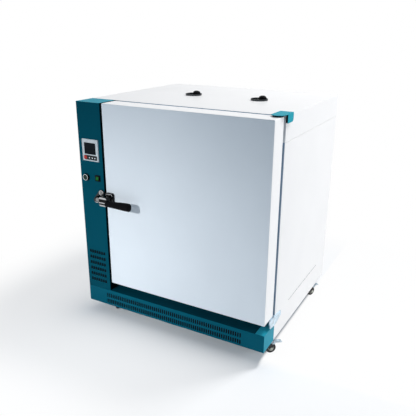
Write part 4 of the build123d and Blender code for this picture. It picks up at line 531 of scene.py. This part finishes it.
def screen_glass():
    """Switched-off display: near black, with the faint bars of its unlit digits in two rows. A row is
    folded at each digit's sides and at its own middle, so that a quarter of a digit draws them all."""
    finish = Finish()
    x, _, z = finish.axes()
    smudge = finish.noise(45.0, detail=4.0)
    (middle_x, _, middle_z), _, _ = front("controller_screen")
    digits = 0.0
    for row, half in ((13 * MM, 10 * MM), (-14 * MM, 7 * MM)):
        wide = half * 0.95
        span = 4 * wide
        fold = {0: x - (middle_x - span), 1: wide}
        u = finish.node("ShaderNodeMath", {"operation": "PINGPONG"}, fold)
        v = abs(z - (middle_z + row))
        inside = (abs(x - middle_x) < span * 0.98) * (v < half * 1.1)
        upright = (abs(u - 0.62 * wide) < 0.07 * wide) * (v > 0.08 * half) * (v < 0.93 * half)
        level = (u < 0.52 * wide) * ((v < 0.06 * half) + (abs(v - 0.95 * half) < 0.05 * half))
        digits = digits + inside * (upright + level)
    glass, unlit, faint = (0.003, 0.006, 0.010), (0.012, 0.019, 0.026), 0.5
    return finish.shader(
        Base_Color=finish.blend((digits * faint).clamped(), glass, unlit),
        Roughness=0.10 + 0.12 * smudge,
        Specular_IOR_Level=0.05,
    )


def rocker_plastic(lens, dark):
    """Rocker of the power switch: a ribbed green lens in a black rim, with a painted glow: its colour is brightest
    in its middle, and it gives off a faint light there.
    """
    finish = Finish()
    x, _, z = finish.axes()
    (middle_x, _, middle_z), _, _ = front("rocker_bezel")
    half_lens, painted_glow_radius, rib_pitch = 8.4 * MM, 11 * MM, 1.4 * MM
    across_x, across_z = abs(x - middle_x), abs(z - middle_z)
    inside = (across_x < half_lens) * (across_z < half_lens)
    # Painted glow: the lens's colour and its faint emission are brightest in its middle.
    painted_glow = (1 - (across_x * across_x + across_z * across_z) / painted_glow_radius ** 2).clamped()
    ribs = finish.node("ShaderNodeMath", {"operation": "SINE"}, {0: x * (TAU / rib_pitch)})
    return finish.shader(
        Base_Color=finish.blend(inside, dark, finish.mottle(painted_glow, lens, 0.35, 1.0)),
        Roughness=0.22 + 0.1 * painted_glow,
        Emission_Color=finish.blend(inside * painted_glow, (0, 0, 0), lens),
        Emission_Strength=0.15,
        Specular_IOR_Level=0.15,
        Normal=finish.relief(ribs * inside, 0.1 * MM, 0.3),
    )


def cast_aluminium(metal):
    """Die-cast motor body: grainy, matt and a little uneven."""
    finish = Finish()
    grain = finish.noise(600.0, detail=3.0)
    cloud = finish.noise(18.0, detail=3.0)
    return finish.shader(
        Base_Color=finish.mottle(cloud, metal, 0.85, 1.1),
        Metallic=0.9,
        Roughness=0.45 + 0.2 * grain,
        Normal=finish.relief(grain, 0.1 * MM, 0.5),
    )


def rubber(tint, gloss=0.62):
    """Moulded rubber with a soft bloom of dust."""
    finish = Finish()
    grain = finish.noise(900.0)
    bloom = finish.noise(35.0, detail=4.0)
    return finish.shader(
        Base_Color=finish.mottle(bloom ** 2, tint, 0.85, 1.5),
        Roughness=gloss + 0.14 * bloom,
        Normal=finish.relief(grain, 0.05 * MM, 0.5),
    )


def mineral_wool(tint):
    """Mineral wool: matted fibres that lie in layers."""
    finish = Finish()
    fibre = finish.noise(90.0, detail=6.0, stretch=(1, 1, 5), rough=0.7)
    return finish.shader(
        Base_Color=finish.mottle(fibre, tint, 0.55, 1.2),
        Roughness=0.95,
        Normal=finish.relief(fibre, 2 * MM, 0.8),
    )


def recipes(tints, sizes):
    """What makes each finish. The finish of a material slot has the slot's name."""
    coat = partial(powder_coat, peel=sizes.peel)
    teal = partial(coat, gloss=0.38, specular=0.05)
    # Painted light and shade in copies of one paint: the column's front is a darker copy of the teal, painted
    # shade; its top a lighter one, painted light; its right side, in the gap by the door, near black, painted
    # shade. The plinth's top is darker, painted shadow under the door, and its right end lighter, painted light.
    # The upper hinge's and the door's tops and right sides are lighter copies, painted light.
    column = shade(tints.front, 0.68)
    column_top_painted_light, column_side_painted_shade = (0.006, 0.28, 0.37), shade(tints.front, 0.04)
    plinth_top_painted_shadow, plinth_end_painted_light = shade(tints.front, 0.45), (0.02, 0.29, 0.39)
    teal_painted_light, body_painted_light = (0.005, 0.33, 0.42), shade(tints.body, 1.06)
    # The front of the lever's slots, with each one's middle and half height, where its plating is painted dark, a
    # painted shade.
    slot_front = place(0, -46, 0)[1]
    slots = [(slot_front, place(0, 0, z)[2], half * MM) for z, half in ((597, 8.0), (579.5, 3.5))]
    return {
        "white_paint": lambda: coat(tints.body),
        "teal_paint": lambda: teal(column, specular=0.03, top=column_top_painted_light, right=column_side_painted_shade),
        "plinth_paint": lambda: teal(tints.front, top=plinth_top_painted_shadow, right=plinth_end_painted_light),
        "bracket_paint": lambda: teal(tints.front, top=teal_painted_light, right=teal_painted_light),
        "door_paint": lambda: coat(tints.door, gloss=0.32, specular=0.35, top=body_painted_light, right=body_painted_light),
        "galvanised_steel": lambda: spangled_zinc(tints.zinc),
        "strap_zinc": lambda: spangled_zinc(shade(tints.zinc, 1.5)),
        "stainless": lambda: rolled_steel(tints.steel),
        # Painted shade: the front frame's darker, bluer steel stands in for the shade in the gap beside the door.
        "frame_steel": lambda: rolled_steel(tints.frame),
        "dark_steel": lambda: rolled_steel(tints.dark, stretch=(8, 8, 8), rough=0.3),
        "dull_steel": lambda: rolled_steel(shade(tints.steel, 0.45)),
        "polished_steel": lambda: chrome_plate(tints.chrome),
        # Painted shade: the lever's plating is a darker copy of the chrome, with no bright top.
        "lever_chrome": lambda: chrome_plate(shade(tints.chrome, 0.6), top=0.0, slots=slots),
        "black_plastic": lambda: moulded(tints.black, gloss=0.34, specular=0.05),
        "gloss_black": lambda: moulded(tints.black, 0.10, grain=0.9 * MM, height=0.01 * MM, specular=0.1),
        "case_plastic": lambda: controller_plastic(tints.case, tints.black),
        "red_plastic": lambda: moulded(tints.set_key, gloss=0.30, specular=0.2),
        "key_plastic": lambda: moulded((0.80, 0.88, 0.95), gloss=0.32),
        "green_plastic": lambda: moulded((0.001, 0.022, 0.016), gloss=0.16, specular=0.2),
        "rocker_lens": lambda: rocker_plastic(tints.lamp, tints.black),
        "display": screen_glass,
        "motor_aluminium": lambda: cast_aluminium(tints.zinc),
        "vent_screen": lambda: moulded(tints.black, 0.8, grain=1.5 * MM, height=0.2 * MM, specular=0.1),
        "gasket_rubber": lambda: rubber(tints.seal),
        "wheel": lambda: rubber(tints.tyre, gloss=0.5),
        "wheel_hub": lambda: moulded(tints.hub, gloss=0.38),
        "mineral_wool": lambda: mineral_wool((0.45, 0.40, 0.28)),
    }


def finishes(context):
    """The oven's materials by name, made once."""
    made = {}
    for key, maker in recipes(context.scene.oven_colours, context.scene.oven_sizes).items():
        made[key] = bpy.data.materials.get("oven_" + key) or maker()
        made[key].name = "oven_" + key
    return made


# The nodes whose finish isn't the one that is named after their material slot.
NODE_FINISH = {
    "controller_screen": "display",
    "power_rocker": "rocker_lens",
    "front_frame": "frame_steel",
    "latch_lever": "lever_chrome",
    "keeper_bracket": "dark_steel",
    "keeper_screws": "dull_steel",
    "keeper_roller": "dull_steel",
    "plinth": "plinth_paint",
    "lower_hinge_bracket": "strap_zinc",
    "exhaust_collars": "dark_steel",
    "damper_plate_left": "dark_steel",
    "damper_plate_right": "dark_steel",
    "upper_hinge_bracket": "bracket_paint",
    **{part["node"]: "wheel" for part in PARTS if part["node"].startswith("caster_fork_")},
}


def dress(context, piece, body, slot, finish=None):
    """Give a new piece the body that it rides on, and the finish named after a material slot, or another finish
    where one is given.
    """
    piece.data.materials.append(finishes(context)[finish or slot])
    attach(piece, body)


# Pieces


class OVEN_OT_finish_nodes(Operator):
    """Put the finishes on the CAD nodes"""

    bl_idname = "oven.finish_nodes"
    bl_label = "Finish CAD Nodes"

    def execute(self, context):
        made = finishes(context)
        for part in PARTS:
            finish = made[NODE_FINISH.get(part["node"], part["material_slot"])]
            node = FRAME["nodes"][part["node"]]
            if not node.data.materials:
                node.data.materials.append(finish)
            for held in node.material_slots:
                held.material = finish
        return {"FINISHED"}


class OVEN_OT_make_grip(Operator):
    """Make the latch grip"""

    bl_idname = "oven.make_grip"
    bl_label = "Latch Grip"

    def execute(self, context):
        """The grip's section is a superellipse. Its height swells along a smooth curve from the neck to
        the end, its middle rises, and the root of a quarter circle closes the end."""
        sizes = context.scene.oven_sizes
        start, long, rise, half_wide = place(190, -50, 588), 139 * MM, 2 * MM, 14 * MM
        swell_start, swell_run, close_start, least = 0.05, 0.85, 0.93, 0.0004
        section, crowding = 2.5, 1.6
        share = 1 - (1 - np.linspace(0, 1, 60)[:, None]) ** crowding
        swell = smooth((share - swell_start) / swell_run)
        past = np.clip(share - close_start, 0, 1) / (1 - close_start)
        close = np.clip(1 - past ** 2, least, 1) ** 0.25
        tall = (sizes.grip_neck + (sizes.grip_end - sizes.grip_neck) * swell) / 2 * close
        c, s = power_curve(full_turn(64), section)
        u, v = half_wide * close * c, rise * smooth(share) + tall * s
        grip = layered("latch_grip_moulding", start, u, v, long * share, Y_AXIS, Z_AXIS, X_AXIS)
        dress(context, grip, "latch", "black_plastic")
        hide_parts("latch_grip")
        return {"FINISHED"}


class OVEN_OT_make_latch_trim(Operator):
    """Make the polished bead round the latch base"""

    bl_idname = "oven.make_latch_trim"
    bl_label = "Latch Base Bead"

    def execute(self, context):
        """A circle carried round a rounded rectangle inside the base's edge, with its middle a little
        below the base's face."""
        radius = context.scene.oven_sizes.bead
        inset, sunk, corner = 5.5 * MM, 0.45 * MM, 6 * MM
        middle, width, height = front("latch_base")
        angle = full_turn(12)
        out, deep = radius * np.cos(angle), radius * np.sin(angle)
        size = (width - 2 * inset, height - 2 * inset)
        bead = frame_round("latch_base_bead", middle + sunk * Y_AXIS, *size, corner, out, deep, crease=80)
        dress(context, bead, "door", "polished_steel")
        return {"FINISHED"}


class OVEN_OT_make_controller_trim(Operator):
    """Make the controller's rims and the marks on its keys"""

    bl_idname = "oven.make_controller_trim"
    bl_label = "Controller Trim"

    def execute(self, context):
        """Half-round beads carried round the case, the screen and the key strip, and a three-sided pad on
        each round key, pointing left, down and up."""
        half = np.linspace(0, TAU / 2, 9)
        strip = (KEY_STRIP, 74 * MM, 20.5 * MM)
        for name, (middle, width, height), outset, corner, reach, proud, slot in (
            ("controller_case_rim", front("controller_case"), -2.2, 2.5, 2.0, 1.0, "case_plastic"),
            ("screen_rim", front("controller_screen"), 1.0, 2.0, 1.2, 0.8, "case_plastic"),
            ("key_strip_rim", strip, 0.0, 2.0, 0.7, 0.5, "gloss_black"),
        ):
            size = (width + 2 * outset * MM, height + 2 * outset * MM)
            out, deep = reach * MM * np.cos(half), -proud * MM * np.sin(half)
            rim = frame_round(name, middle, *size, corner * MM, out, deep, crease=60)
            dress(context, rim, "cabinet", slot)
        to_side, bulge = 2.6 * MM, 0.12
        angle = full_turn(48)
        from_side = np.mod(angle, TAU / 3) - TAU / 6
        share = np.array([[1.0], [1.0], [0.85], [0.05]])
        lift = np.array([[0.0], [0.12], [0.2], [0.2]]) * MM
        reach = share * to_side / np.cos(from_side) * (1 - bulge * np.abs(from_side) / (TAU / 6))
        for key, turn in (("shift_key", TAU / 2), ("down_key", -TAU / 4), ("up_key", TAU / 4)):
            face, _, _ = front(key)
            u, v = reach * np.cos(angle + turn), reach * np.sin(angle + turn)
            mark = layered(key + "_mark", face, u, v, lift, X_AXIS, Z_AXIS, -Y_AXIS)
            dress(context, mark, key, "case_plastic", "key_plastic")
        return {"FINISHED"}


class OVEN_OT_make_button(Operator):
    """Make the push button's skirt, polished ring and cap"""

    bl_idname = "oven.make_button"
    bl_label = "Push Button"

    def execute(self, context):
        """Profiles carried round the button's axis, in millimetres along it from the column's front and
        away from it: a skirt with its barrel, a ring with a rounded lip, and a cap that dips with the square
        of the way to its middle."""
        middle, _, _ = front("push_button")
        middle[1] = CORNER[1]
        axis = -Y_AXIS
        skirt_top = 6.5
        rim = [(0, 17.0), (0.6, 17.4), (6.0, 17.4), (skirt_top, 17.0)]
        inside = [(skirt_top, 13.1), (0.5, 13.1), (0.5, 11.0), (-40, 11.0)]
        profile = np.array([(-40, 13), (0, 13), *rim, *inside]) * MM
        skirt = turned("button_skirt", middle, axis, *profile.T, joined=True, crease=30)
        dress(context, skirt, "cabinet", "black_plastic")
        outer, inner, lip_base, lip_rise, lip_radius, lip_half = 15.2, 12.9, 11.2, 1.3, 14.1, 1.2
        lip = np.linspace(0, TAU / 2, 12)
        along = np.concatenate([[skirt_top], lip_base + lip_rise * np.sin(lip), [skirt_top]]) * MM
        radius = np.concatenate([[outer], lip_radius + lip_half * np.cos(lip), [inner]]) * MM
        ring = turned("button_ring", middle, axis, along, radius, joined=True, crease=50)
        dress(context, ring, "cabinet", "polished_steel")
        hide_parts("button_bezel")
        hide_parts("button_bezel")
        share = np.linspace(0, 1, 14)[1:]
        base, edge, rise, dish, side, face = 5.0, 9.2, 9.7, 1.2, 12.6, 12.2
        along = np.concatenate([[base, edge], rise - dish * share ** 2]) * MM
        radius = np.concatenate([[side, side], face * (1 - share) + 0.02]) * MM
        cap = turned("button_cap", middle, axis, along, radius, crease=30)
        dress(context, cap, "push_button", "green_plastic")
        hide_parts("push_button")
        return {"FINISHED"}


class OVEN_OT_make_damper_knobs(Operator):
    """Make the ridged knobs of the exhaust dampers"""

    bl_idname = "oven.make_damper_knobs"
    bl_label = "Damper Knobs"

    def execute(self, context):
        """A profile carried round an upright axis: a skirt, and a dome that is a quarter circle with its
        cosine raised to a power. Ridges are cut into the skirt and fade out on the dome."""
        ridges = context.scene.oven_sizes.knob_ridges
        skirt_top, dome_start, groove = 0.3, 0.42, 0.9 * MM
        foot, dome_reach, bluntness, tip = 0.97, 0.98, 0.8, 0.004
        quarter = np.linspace(0, TAU / 4, 14)
        dome = dome_start + (1 - dome_start) * np.sin(quarter)
        for side in ("left", "right"):
            node = "damper_knob_" + side
            low, high = box(node)
            radius, tall = (high - low)[0] / 2, (high - low)[2]
            along = np.concatenate([[0.0, skirt_top], dome]) * tall
            reach = np.concatenate([[foot, 1], dome_reach * np.cos(quarter) ** bluntness + tip]) * radius
            depth = np.concatenate([[0.0, 1.0, 1.0, 0.7], np.zeros(len(dome) - 2)]) * groove
            base, cap = within(node, 0.5, 0.5, 0), "damper_knob_cap_" + side
            knob = turned(cap, base, Z_AXIS, along, reach, ridges * 6, ridges, depth, crease=60)
            dress(context, knob, "damper_" + side, "black_plastic")
            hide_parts(node)
        return {"FINISHED"}


class OVEN_OT_make_seal(Operator):
    """Make the ribbed silicone seal of the door"""

    bl_idname = "oven.make_seal"
    bl_label = "Door Seal"

    def execute(self, context):
        """A closed profile carried round the chamber's mouth. Its half width is a fixed one less a cosine
        of the depth for each rib, and a parabola narrows its lip."""
        ribs = context.scene.oven_sizes.seal_ribs
        half_width, groove, lip_start, lip_narrows, corner = 8 * MM, 1.1 * MM, 0.86, 3 * MM, 10 * MM
        low, high = box("door_gasket")
        middle, width, height = front("door_gasket")
        deep = np.linspace(0, 1, 12 * ribs + 1)
        half = half_width - groove * (0.5 - 0.5 * np.cos(TAU * ribs * deep))
        half = half - lip_narrows * np.clip((deep - lip_start) / (1 - lip_start), 0, 1) ** 2
        depth = (high - low)[1] * deep
        out, along = np.concatenate([half, -half[::-1]]), np.concatenate([depth, depth[::-1]])
        size = (width - 2 * half_width, height - 2 * half_width)
        seal = frame_round("door_seal", middle, *size, corner, out, along, crease=50)
        dress(context, seal, "door", "gasket_rubber")
        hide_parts("door_gasket")
        return {"FINISHED"}


class OVEN_OT_make_wheels(Operator):
    """Make the casters' tyres, hubs and axle caps"""

    bl_idname = "oven.make_wheels"
    bl_label = "Caster Wheels"

    def execute(self, context):
        """Profiles carried round each axle, in millimetres along it and away from it: a tyre with quarter
        circles as shoulders and two fine grooves, a hub with a rim, a recessed web and a boss, and a cap at
        each end of the axle."""
        radius, half, corner, bore, bore_half, groove = 25, 8.5, 4, 13.1, 8.0, 0.4
        shoulder = np.linspace(0, TAU / 4, 7)
        side = -half + corner * (1 - np.cos(shoulder))
        outer = radius - corner * (1 - np.sin(shoulder))
        tread = np.array([(1.9, 0), (2.1, groove), (2.4, groove), (2.6, 0)])
        across_tread, dip = np.vstack([tread[::-1] * (-1, 1), tread]).T
        tyre_along = np.concatenate([[-bore_half], side, across_tread, -side[::-1], [bore_half]]) * MM
        tyre_radius = np.concatenate([[bore], outer, radius - dip, outer[::-1], [bore]]) * MM
        rim = [(-8.3, 13.0), (-8.5, 12.8), (-8.5, 12.0)]
        web = [(-4.9, 11.7), (-4.5, 11.2), (-4.5, 8.4)]
        boss = [(-10.3, 7.9), (-10.5, 7.5), (-10.5, 4.1)]
        hub_side = np.array(rim + web + boss) * MM
        hub_profile = np.vstack([hub_side, hub_side[::-1] * (-1, 1)])
        cap_profile = np.array([(13.4, 7.8), (15.6, 7.8), (16.6, 6.9), (16.9, 1.0)]) * MM
        for joint in FRAME["joints"]:
            wheel = joint["child"]
            if not wheel.startswith("caster_wheel_"):
                continue
            middle, axle = np.array(joint["pos_m"]), np.array(joint["axis"], float)
            spot = wheel.removeprefix("caster_wheel_")
            tyre = turned("tyre_" + spot, middle, axle, tyre_along, tyre_radius, 96, joined=True, crease=40)
            hub = turned("hub_" + spot, middle, axle, *hub_profile.T, joined=True, crease=30)
            for piece, finish in ((tyre, "wheel"), (hub, "wheel_hub")):
                dress(context, piece, wheel, "wheel", finish)
                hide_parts(wheel)
            for number, way in enumerate((axle, -axle), 1):
                cap = turned("axle_cap_%s_%d" % (spot, number), middle, way, *cap_profile.T, 40)
                dress(context, cap, "caster_fork_" + spot, "case_plastic", "wheel_hub")
        return {"FINISHED"}


def screw(name, middle, normal, radius):
    """A domed screw head with a cross cut in it. The height over a polar grid is a flattened dome, less a
    cross whose depth falls off past its arms' width and length."""
    arm_width, arm_length, side_fade, end_fade = 0.16, 0.62, 0.08, 0.12
    cut, dome, step = 0.30, 0.55, 0.05
    share = np.concatenate([[1.0], np.linspace(1.0, 0.04, 12)])
    angle = full_turn(32)
    first, second = across(normal)
    u, v = share[:, None] * np.cos(angle), share[:, None] * np.sin(angle)
    beside = np.minimum(np.abs(u), np.abs(v))
    reach = np.maximum(np.abs(u), np.abs(v))
    cross = smooth((arm_width - beside) / side_fade) * smooth((arm_length - reach) / end_fade)
    lift = dome * np.sqrt(np.minimum(1.02 - share ** 2, 1))[:, None] + step - cut * cross
    lift[0] = 0.0
    return layered(name, middle, radius * u, radius * v, radius * lift, first, second, normal, crease=50)


class OVEN_OT_make_hinge_packing(Operator):
    """Make the hinge's washer and packer, black pieces that are partly painted shade"""

    bl_idname = "oven.make_hinge_packing"
    bl_label = "Hinge Packing"

    def execute(self, context):
        """A flat profile carried round the hinge's axis, in millimetres along it and away from it, and a
        superellipse pad with nearly square corners on the cabinet's right side. Both are black and fill
        dark gaps by the hinge: the washer under the plate is partly a real bush and partly painted shade,
        and the packer beside the flange is painted shade."""
        washer_base, packer_back = place(978, 84, 1050.3), place(1000, 122, 1038)
        profile = np.array([(0, 22.4), (0.4, 23.0), (5.0, 23.0), (5.4, 22.4)]) * MM
        deep, tall, thick = 14 * MM, 34 * MM, 7 * MM
        washer = turned("hinge_washer", washer_base, Z_AXIS, *profile.T)
        packer = pad("hinge_packer", packer_back, deep, tall, thick, X_AXIS, Y_AXIS, 12.0)
        for piece in (washer, packer):
            dress(context, piece, "cabinet", "black_plastic")
        return {"FINISHED"}


class OVEN_OT_make_keeper_rings(Operator):
    """Make the polished rings round the keeper's screws"""

    bl_idname = "oven.make_keeper_rings"
    bl_label = "Keeper Rings"

    def execute(self, context):
        """A circle carried round each screw's axis, on the face of the keeper's plate."""
        radius, thick = 11.4 * MM, 1.6 * MM
        turn = full_turn(16)
        along, reach = thick * np.sin(turn), radius + thick * np.cos(turn)
        for name, middle in (("upper", place(124, -6, 618)), ("lower", place(92.5, -6, 577))):
            ring = turned("keeper_ring_" + name, middle, -Y_AXIS, along, reach, joined=True)
            dress(context, ring, "cabinet", "polished_steel")
        return {"FINISHED"}


class OVEN_OT_make_vent_screens(Operator):
    """Make the black pads behind the vent slots, painted shade for the dark inside"""

    bl_idname = "oven.make_vent_screens"
    bl_label = "Vent Screens"

    def execute(self, context):
        """A flat black superellipse pad with almost square corners behind each group of slots, standing in for the
        shade inside the column and the plinth: painted shade.
        """
        square, edge, thick = 60.0, 0.01, 1.0 * MM
        for name, back, width, height in (
            ("column_screen", place(70, 3.2, 210), 112 * MM, 192 * MM),
            ("plinth_screen", place(500, 3.2, 39.5), 786 * MM, 66 * MM),
        ):
            screen = pad(name, back, width, height, thick, -Y_AXIS, X_AXIS, square, edge)
            dress(context, screen, "cabinet", "black_plastic", "vent_screen")
        return {"FINISHED"}


class OVEN_OT_make_screws(Operator):
    """Make the panel screws on the back"""

    bl_idname = "oven.make_screws"
    bl_label = "Panel Screws"

    def execute(self, context):
        """A screw at each corner of the back panel and at each quarter of its edges, a little inside."""
        radius = context.scene.oven_sizes.screw
        inset, per_side = 9 * MM, 5
        low, high = box("back_panel")
        columns = np.linspace(low[0] + inset, high[0] - inset, per_side)
        rows = np.linspace(low[2] + inset, high[2] - inset, per_side)
        spots = [(x, z) for x in columns for z in (rows[0], rows[-1])]
        spots += [(x, z) for x in (columns[0], columns[-1]) for z in rows[1:-1]]
        for number, (x, z) in enumerate(spots, 1):
            head = screw("back_screw_%02d" % number, np.array([x, high[1], z]), Y_AXIS, radius)
            dress(context, head, "cabinet", "polished_steel")
        return {"FINISHED"}


# Each lamp's place, the point that it faces, its width in metres and its beam in degrees.
LAMPS = {
    "key": ((1.7, 1.6, 4.9), (0, 0, 0.5), 1.0, 180),
    "side": ((3.4, 0.5, 1.4), (0.5, 0, 0.6), 1.6, 180),
    "fill": ((-0.2, -1.45, 0.32), (0.0, -0.45, 0.12), 0.9, 180),
    "spot": ((-0.85, -2.5, 1.5), (-0.26, -0.45, 0.27), 0.12, 58),
}


class OVEN_OT_set_stage(Operator):
    """Lay the floor, hang the lamps and set the camera"""

    bl_idname = "oven.set_stage"
    bl_label = "Floor, Lamps and Camera"

    def execute(self, context):
        stage = context.scene.oven_stage
        self.lay_floor(stage)
        self.light_world(context, stage)
        for name, (where, towards, size, beam) in LAMPS.items():
            self.hang_lamp(name + "_lamp", where, towards, size, beam, getattr(stage, name))
        self.set_camera(context, stage)
        context.scene.view_settings.view_transform = "Standard"
        return {"FINISHED"}

    def lay_floor(self, stage):
        """A plain floor that keeps the shadow near the oven. For the camera it turns white away from it:
        by an exponential of the distance, then along a smooth curve, and at once beside the right side."""
        half_x, half_y = 0.5, 0.4
        close, first_rise, fade = 0.02, 0.65, 0.13
        second_start, second_run = 0.40, 0.55
        right, right_run, right_front, front_run, right_white = 0.449, 0.014, -0.46, 0.08, 0.96
        finish = Finish("stage_floor")
        tint = finish.mottle(finish.noise(1.5), stage.floor, 0.995, 1.0)
        lit = finish.node("ShaderNodeBsdfDiffuse", {}, {"Color": tint})
        plain = finish.node("ShaderNodeEmission", {}, {"Color": (1, 1, 1), "Strength": 1.0})
        x, y, _ = finish.axes()
        past_x = (abs(x) - half_x).above(0.0)
        past_y = (abs(y) - half_y).above(0.0)
        away = (past_x * past_x + past_y * past_y) ** 0.5
        near = close + first_rise * (1 - np.e ** (away * (-1 / fade)))
        far = ((away - second_start) / second_run).clamped()
        share = near + (1 - near) * far * far * (3 - 2 * far)
        beside = ((x - right) / right_run).clamped() * ((y - right_front) / front_run).clamped()
        share = share.above(right_white * beside)
        mix = {0: finish.seen() * share, 1: lit, 2: plain}
        finish.end("ShaderNodeOutputMaterial", finish.node("ShaderNodeMixShader", {}, mix))
        finish.owner.cycles.emission_sampling = "NONE"
        mesh = bpy.data.meshes.new("stage_floor")
        reach = 30.0
        corners = [(-reach, -reach, 0), (reach, -reach, 0), (reach, reach, 0), (-reach, reach, 0)]
        mesh.from_pydata(corners, [], [(0, 1, 2, 3)])
        mesh.materials.append(finish.owner)
        floor = bpy.data.objects.new("stage_floor", mesh)
        bpy.context.scene.collection.objects.link(floor)

    def light_world(self, context, stage):
        """Pale light from all round, and plain white where the camera, a mirror or glass sees it."""
        world = bpy.data.worlds.new("studio")
        context.scene.world = world
        sky = Nodes(world)
        light = {"Color": stage.world, "Strength": stage.world_level}
        around = sky.node("ShaderNodeBackground", {}, light)
        plain = sky.node("ShaderNodeBackground", {}, {"Color": (1, 1, 1), "Strength": 1.0})
        mix = {0: sky.seen(), 1: around, 2: plain}
        sky.end("ShaderNodeOutputWorld", sky.node("ShaderNodeMixShader", {}, mix))

    def hang_lamp(self, name, where, towards, size, beam, watts):
        """A square lamp that faces a point. Only the key lamp shows in reflections."""
        lamp = bpy.data.lights.new(name, "AREA")
        lamp.size = size
        lamp.spread = np.radians(beam)
        lamp.energy = watts
        holder = bpy.data.objects.new(name, lamp)
        holder.visible_camera = False
        holder.visible_glossy = name == "key_lamp"
        holder.location = where
        holder.rotation_euler = (Vector(towards) - Vector(where)).to_track_quat("-Z", "Y").to_euler()
        bpy.context.scene.collection.objects.link(holder)

    def set_camera(self, context, stage):
        """The camera looks down and to the left, with a slight roll, from the front right."""
        where = (1.18756, -2.27275, 1.45836)
        turn, tilt, roll = np.radians([-28.358, 19.625, 0.505])
        lens = bpy.data.cameras.new("camera")
        lens.sensor_width = 36
        lens.lens = stage.lens
        lens.clip_end = 200
        camera = bpy.data.objects.new("camera", lens)
        camera.matrix_world = (
            Matrix.Translation(where)
            @ Matrix.Rotation(-turn, 4, "Z")
            @ Matrix.Rotation(TAU / 4 - tilt, 4, "X")
            @ Matrix.Rotation(roll, 4, "Z")
        )
        bpy.context.scene.collection.objects.link(camera)
        context.scene.camera = camera


class OVEN_PT_fittings(Panel):
    """Lists the oven's pieces, colours and sizes"""

    bl_label = "Drying Oven"
    bl_idname = "OVEN_PT_fittings"
    bl_space_type = "VIEW_3D"
    bl_region_type = "UI"
    bl_category = "Oven"

    def draw(self, context):
        """A button for each operator and a box for each group of values."""
        for operator in OPERATORS:
            self.layout.operator(operator.bl_idname)
        for group in (context.scene.oven_colours, context.scene.oven_sizes, context.scene.oven_stage):
            frame = self.layout.box()
            for key in group.__annotations__:
                frame.prop(group, key)


OPERATORS = (
    OVEN_OT_finish_nodes,
    OVEN_OT_make_grip,
    OVEN_OT_make_latch_trim,
    OVEN_OT_make_controller_trim,
    OVEN_OT_make_button,
    OVEN_OT_make_damper_knobs,
    OVEN_OT_make_seal,
    OVEN_OT_make_wheels,
    OVEN_OT_make_hinge_packing,
    OVEN_OT_make_keeper_rings,
    OVEN_OT_make_vent_screens,
    OVEN_OT_make_screws,
    OVEN_OT_set_stage,
)
GROUPS = {"oven_colours": OvenColours, "oven_sizes": OvenSizes, "oven_stage": OvenStage}


def register():
    """Add the classes, and their values to the scene."""
    for cls in (*GROUPS.values(), *OPERATORS, OVEN_PT_fittings):
        bpy.utils.register_class(cls)
    for name, group in GROUPS.items():
        setattr(bpy.types.Scene, name, PointerProperty(type=group))


def unregister():
    """Take the values and the classes away again."""
    for name in GROUPS:
        delattr(bpy.types.Scene, name)
    for cls in (OVEN_PT_fittings, *OPERATORS[::-1], *GROUPS.values()):
        bpy.utils.unregister_class(cls)


def main():
    register()
    for operator in OPERATORS:
        family, name = operator.bl_idname.split(".")
        getattr(getattr(bpy.ops, family), name)()


if __name__ == "__main__":
    main()
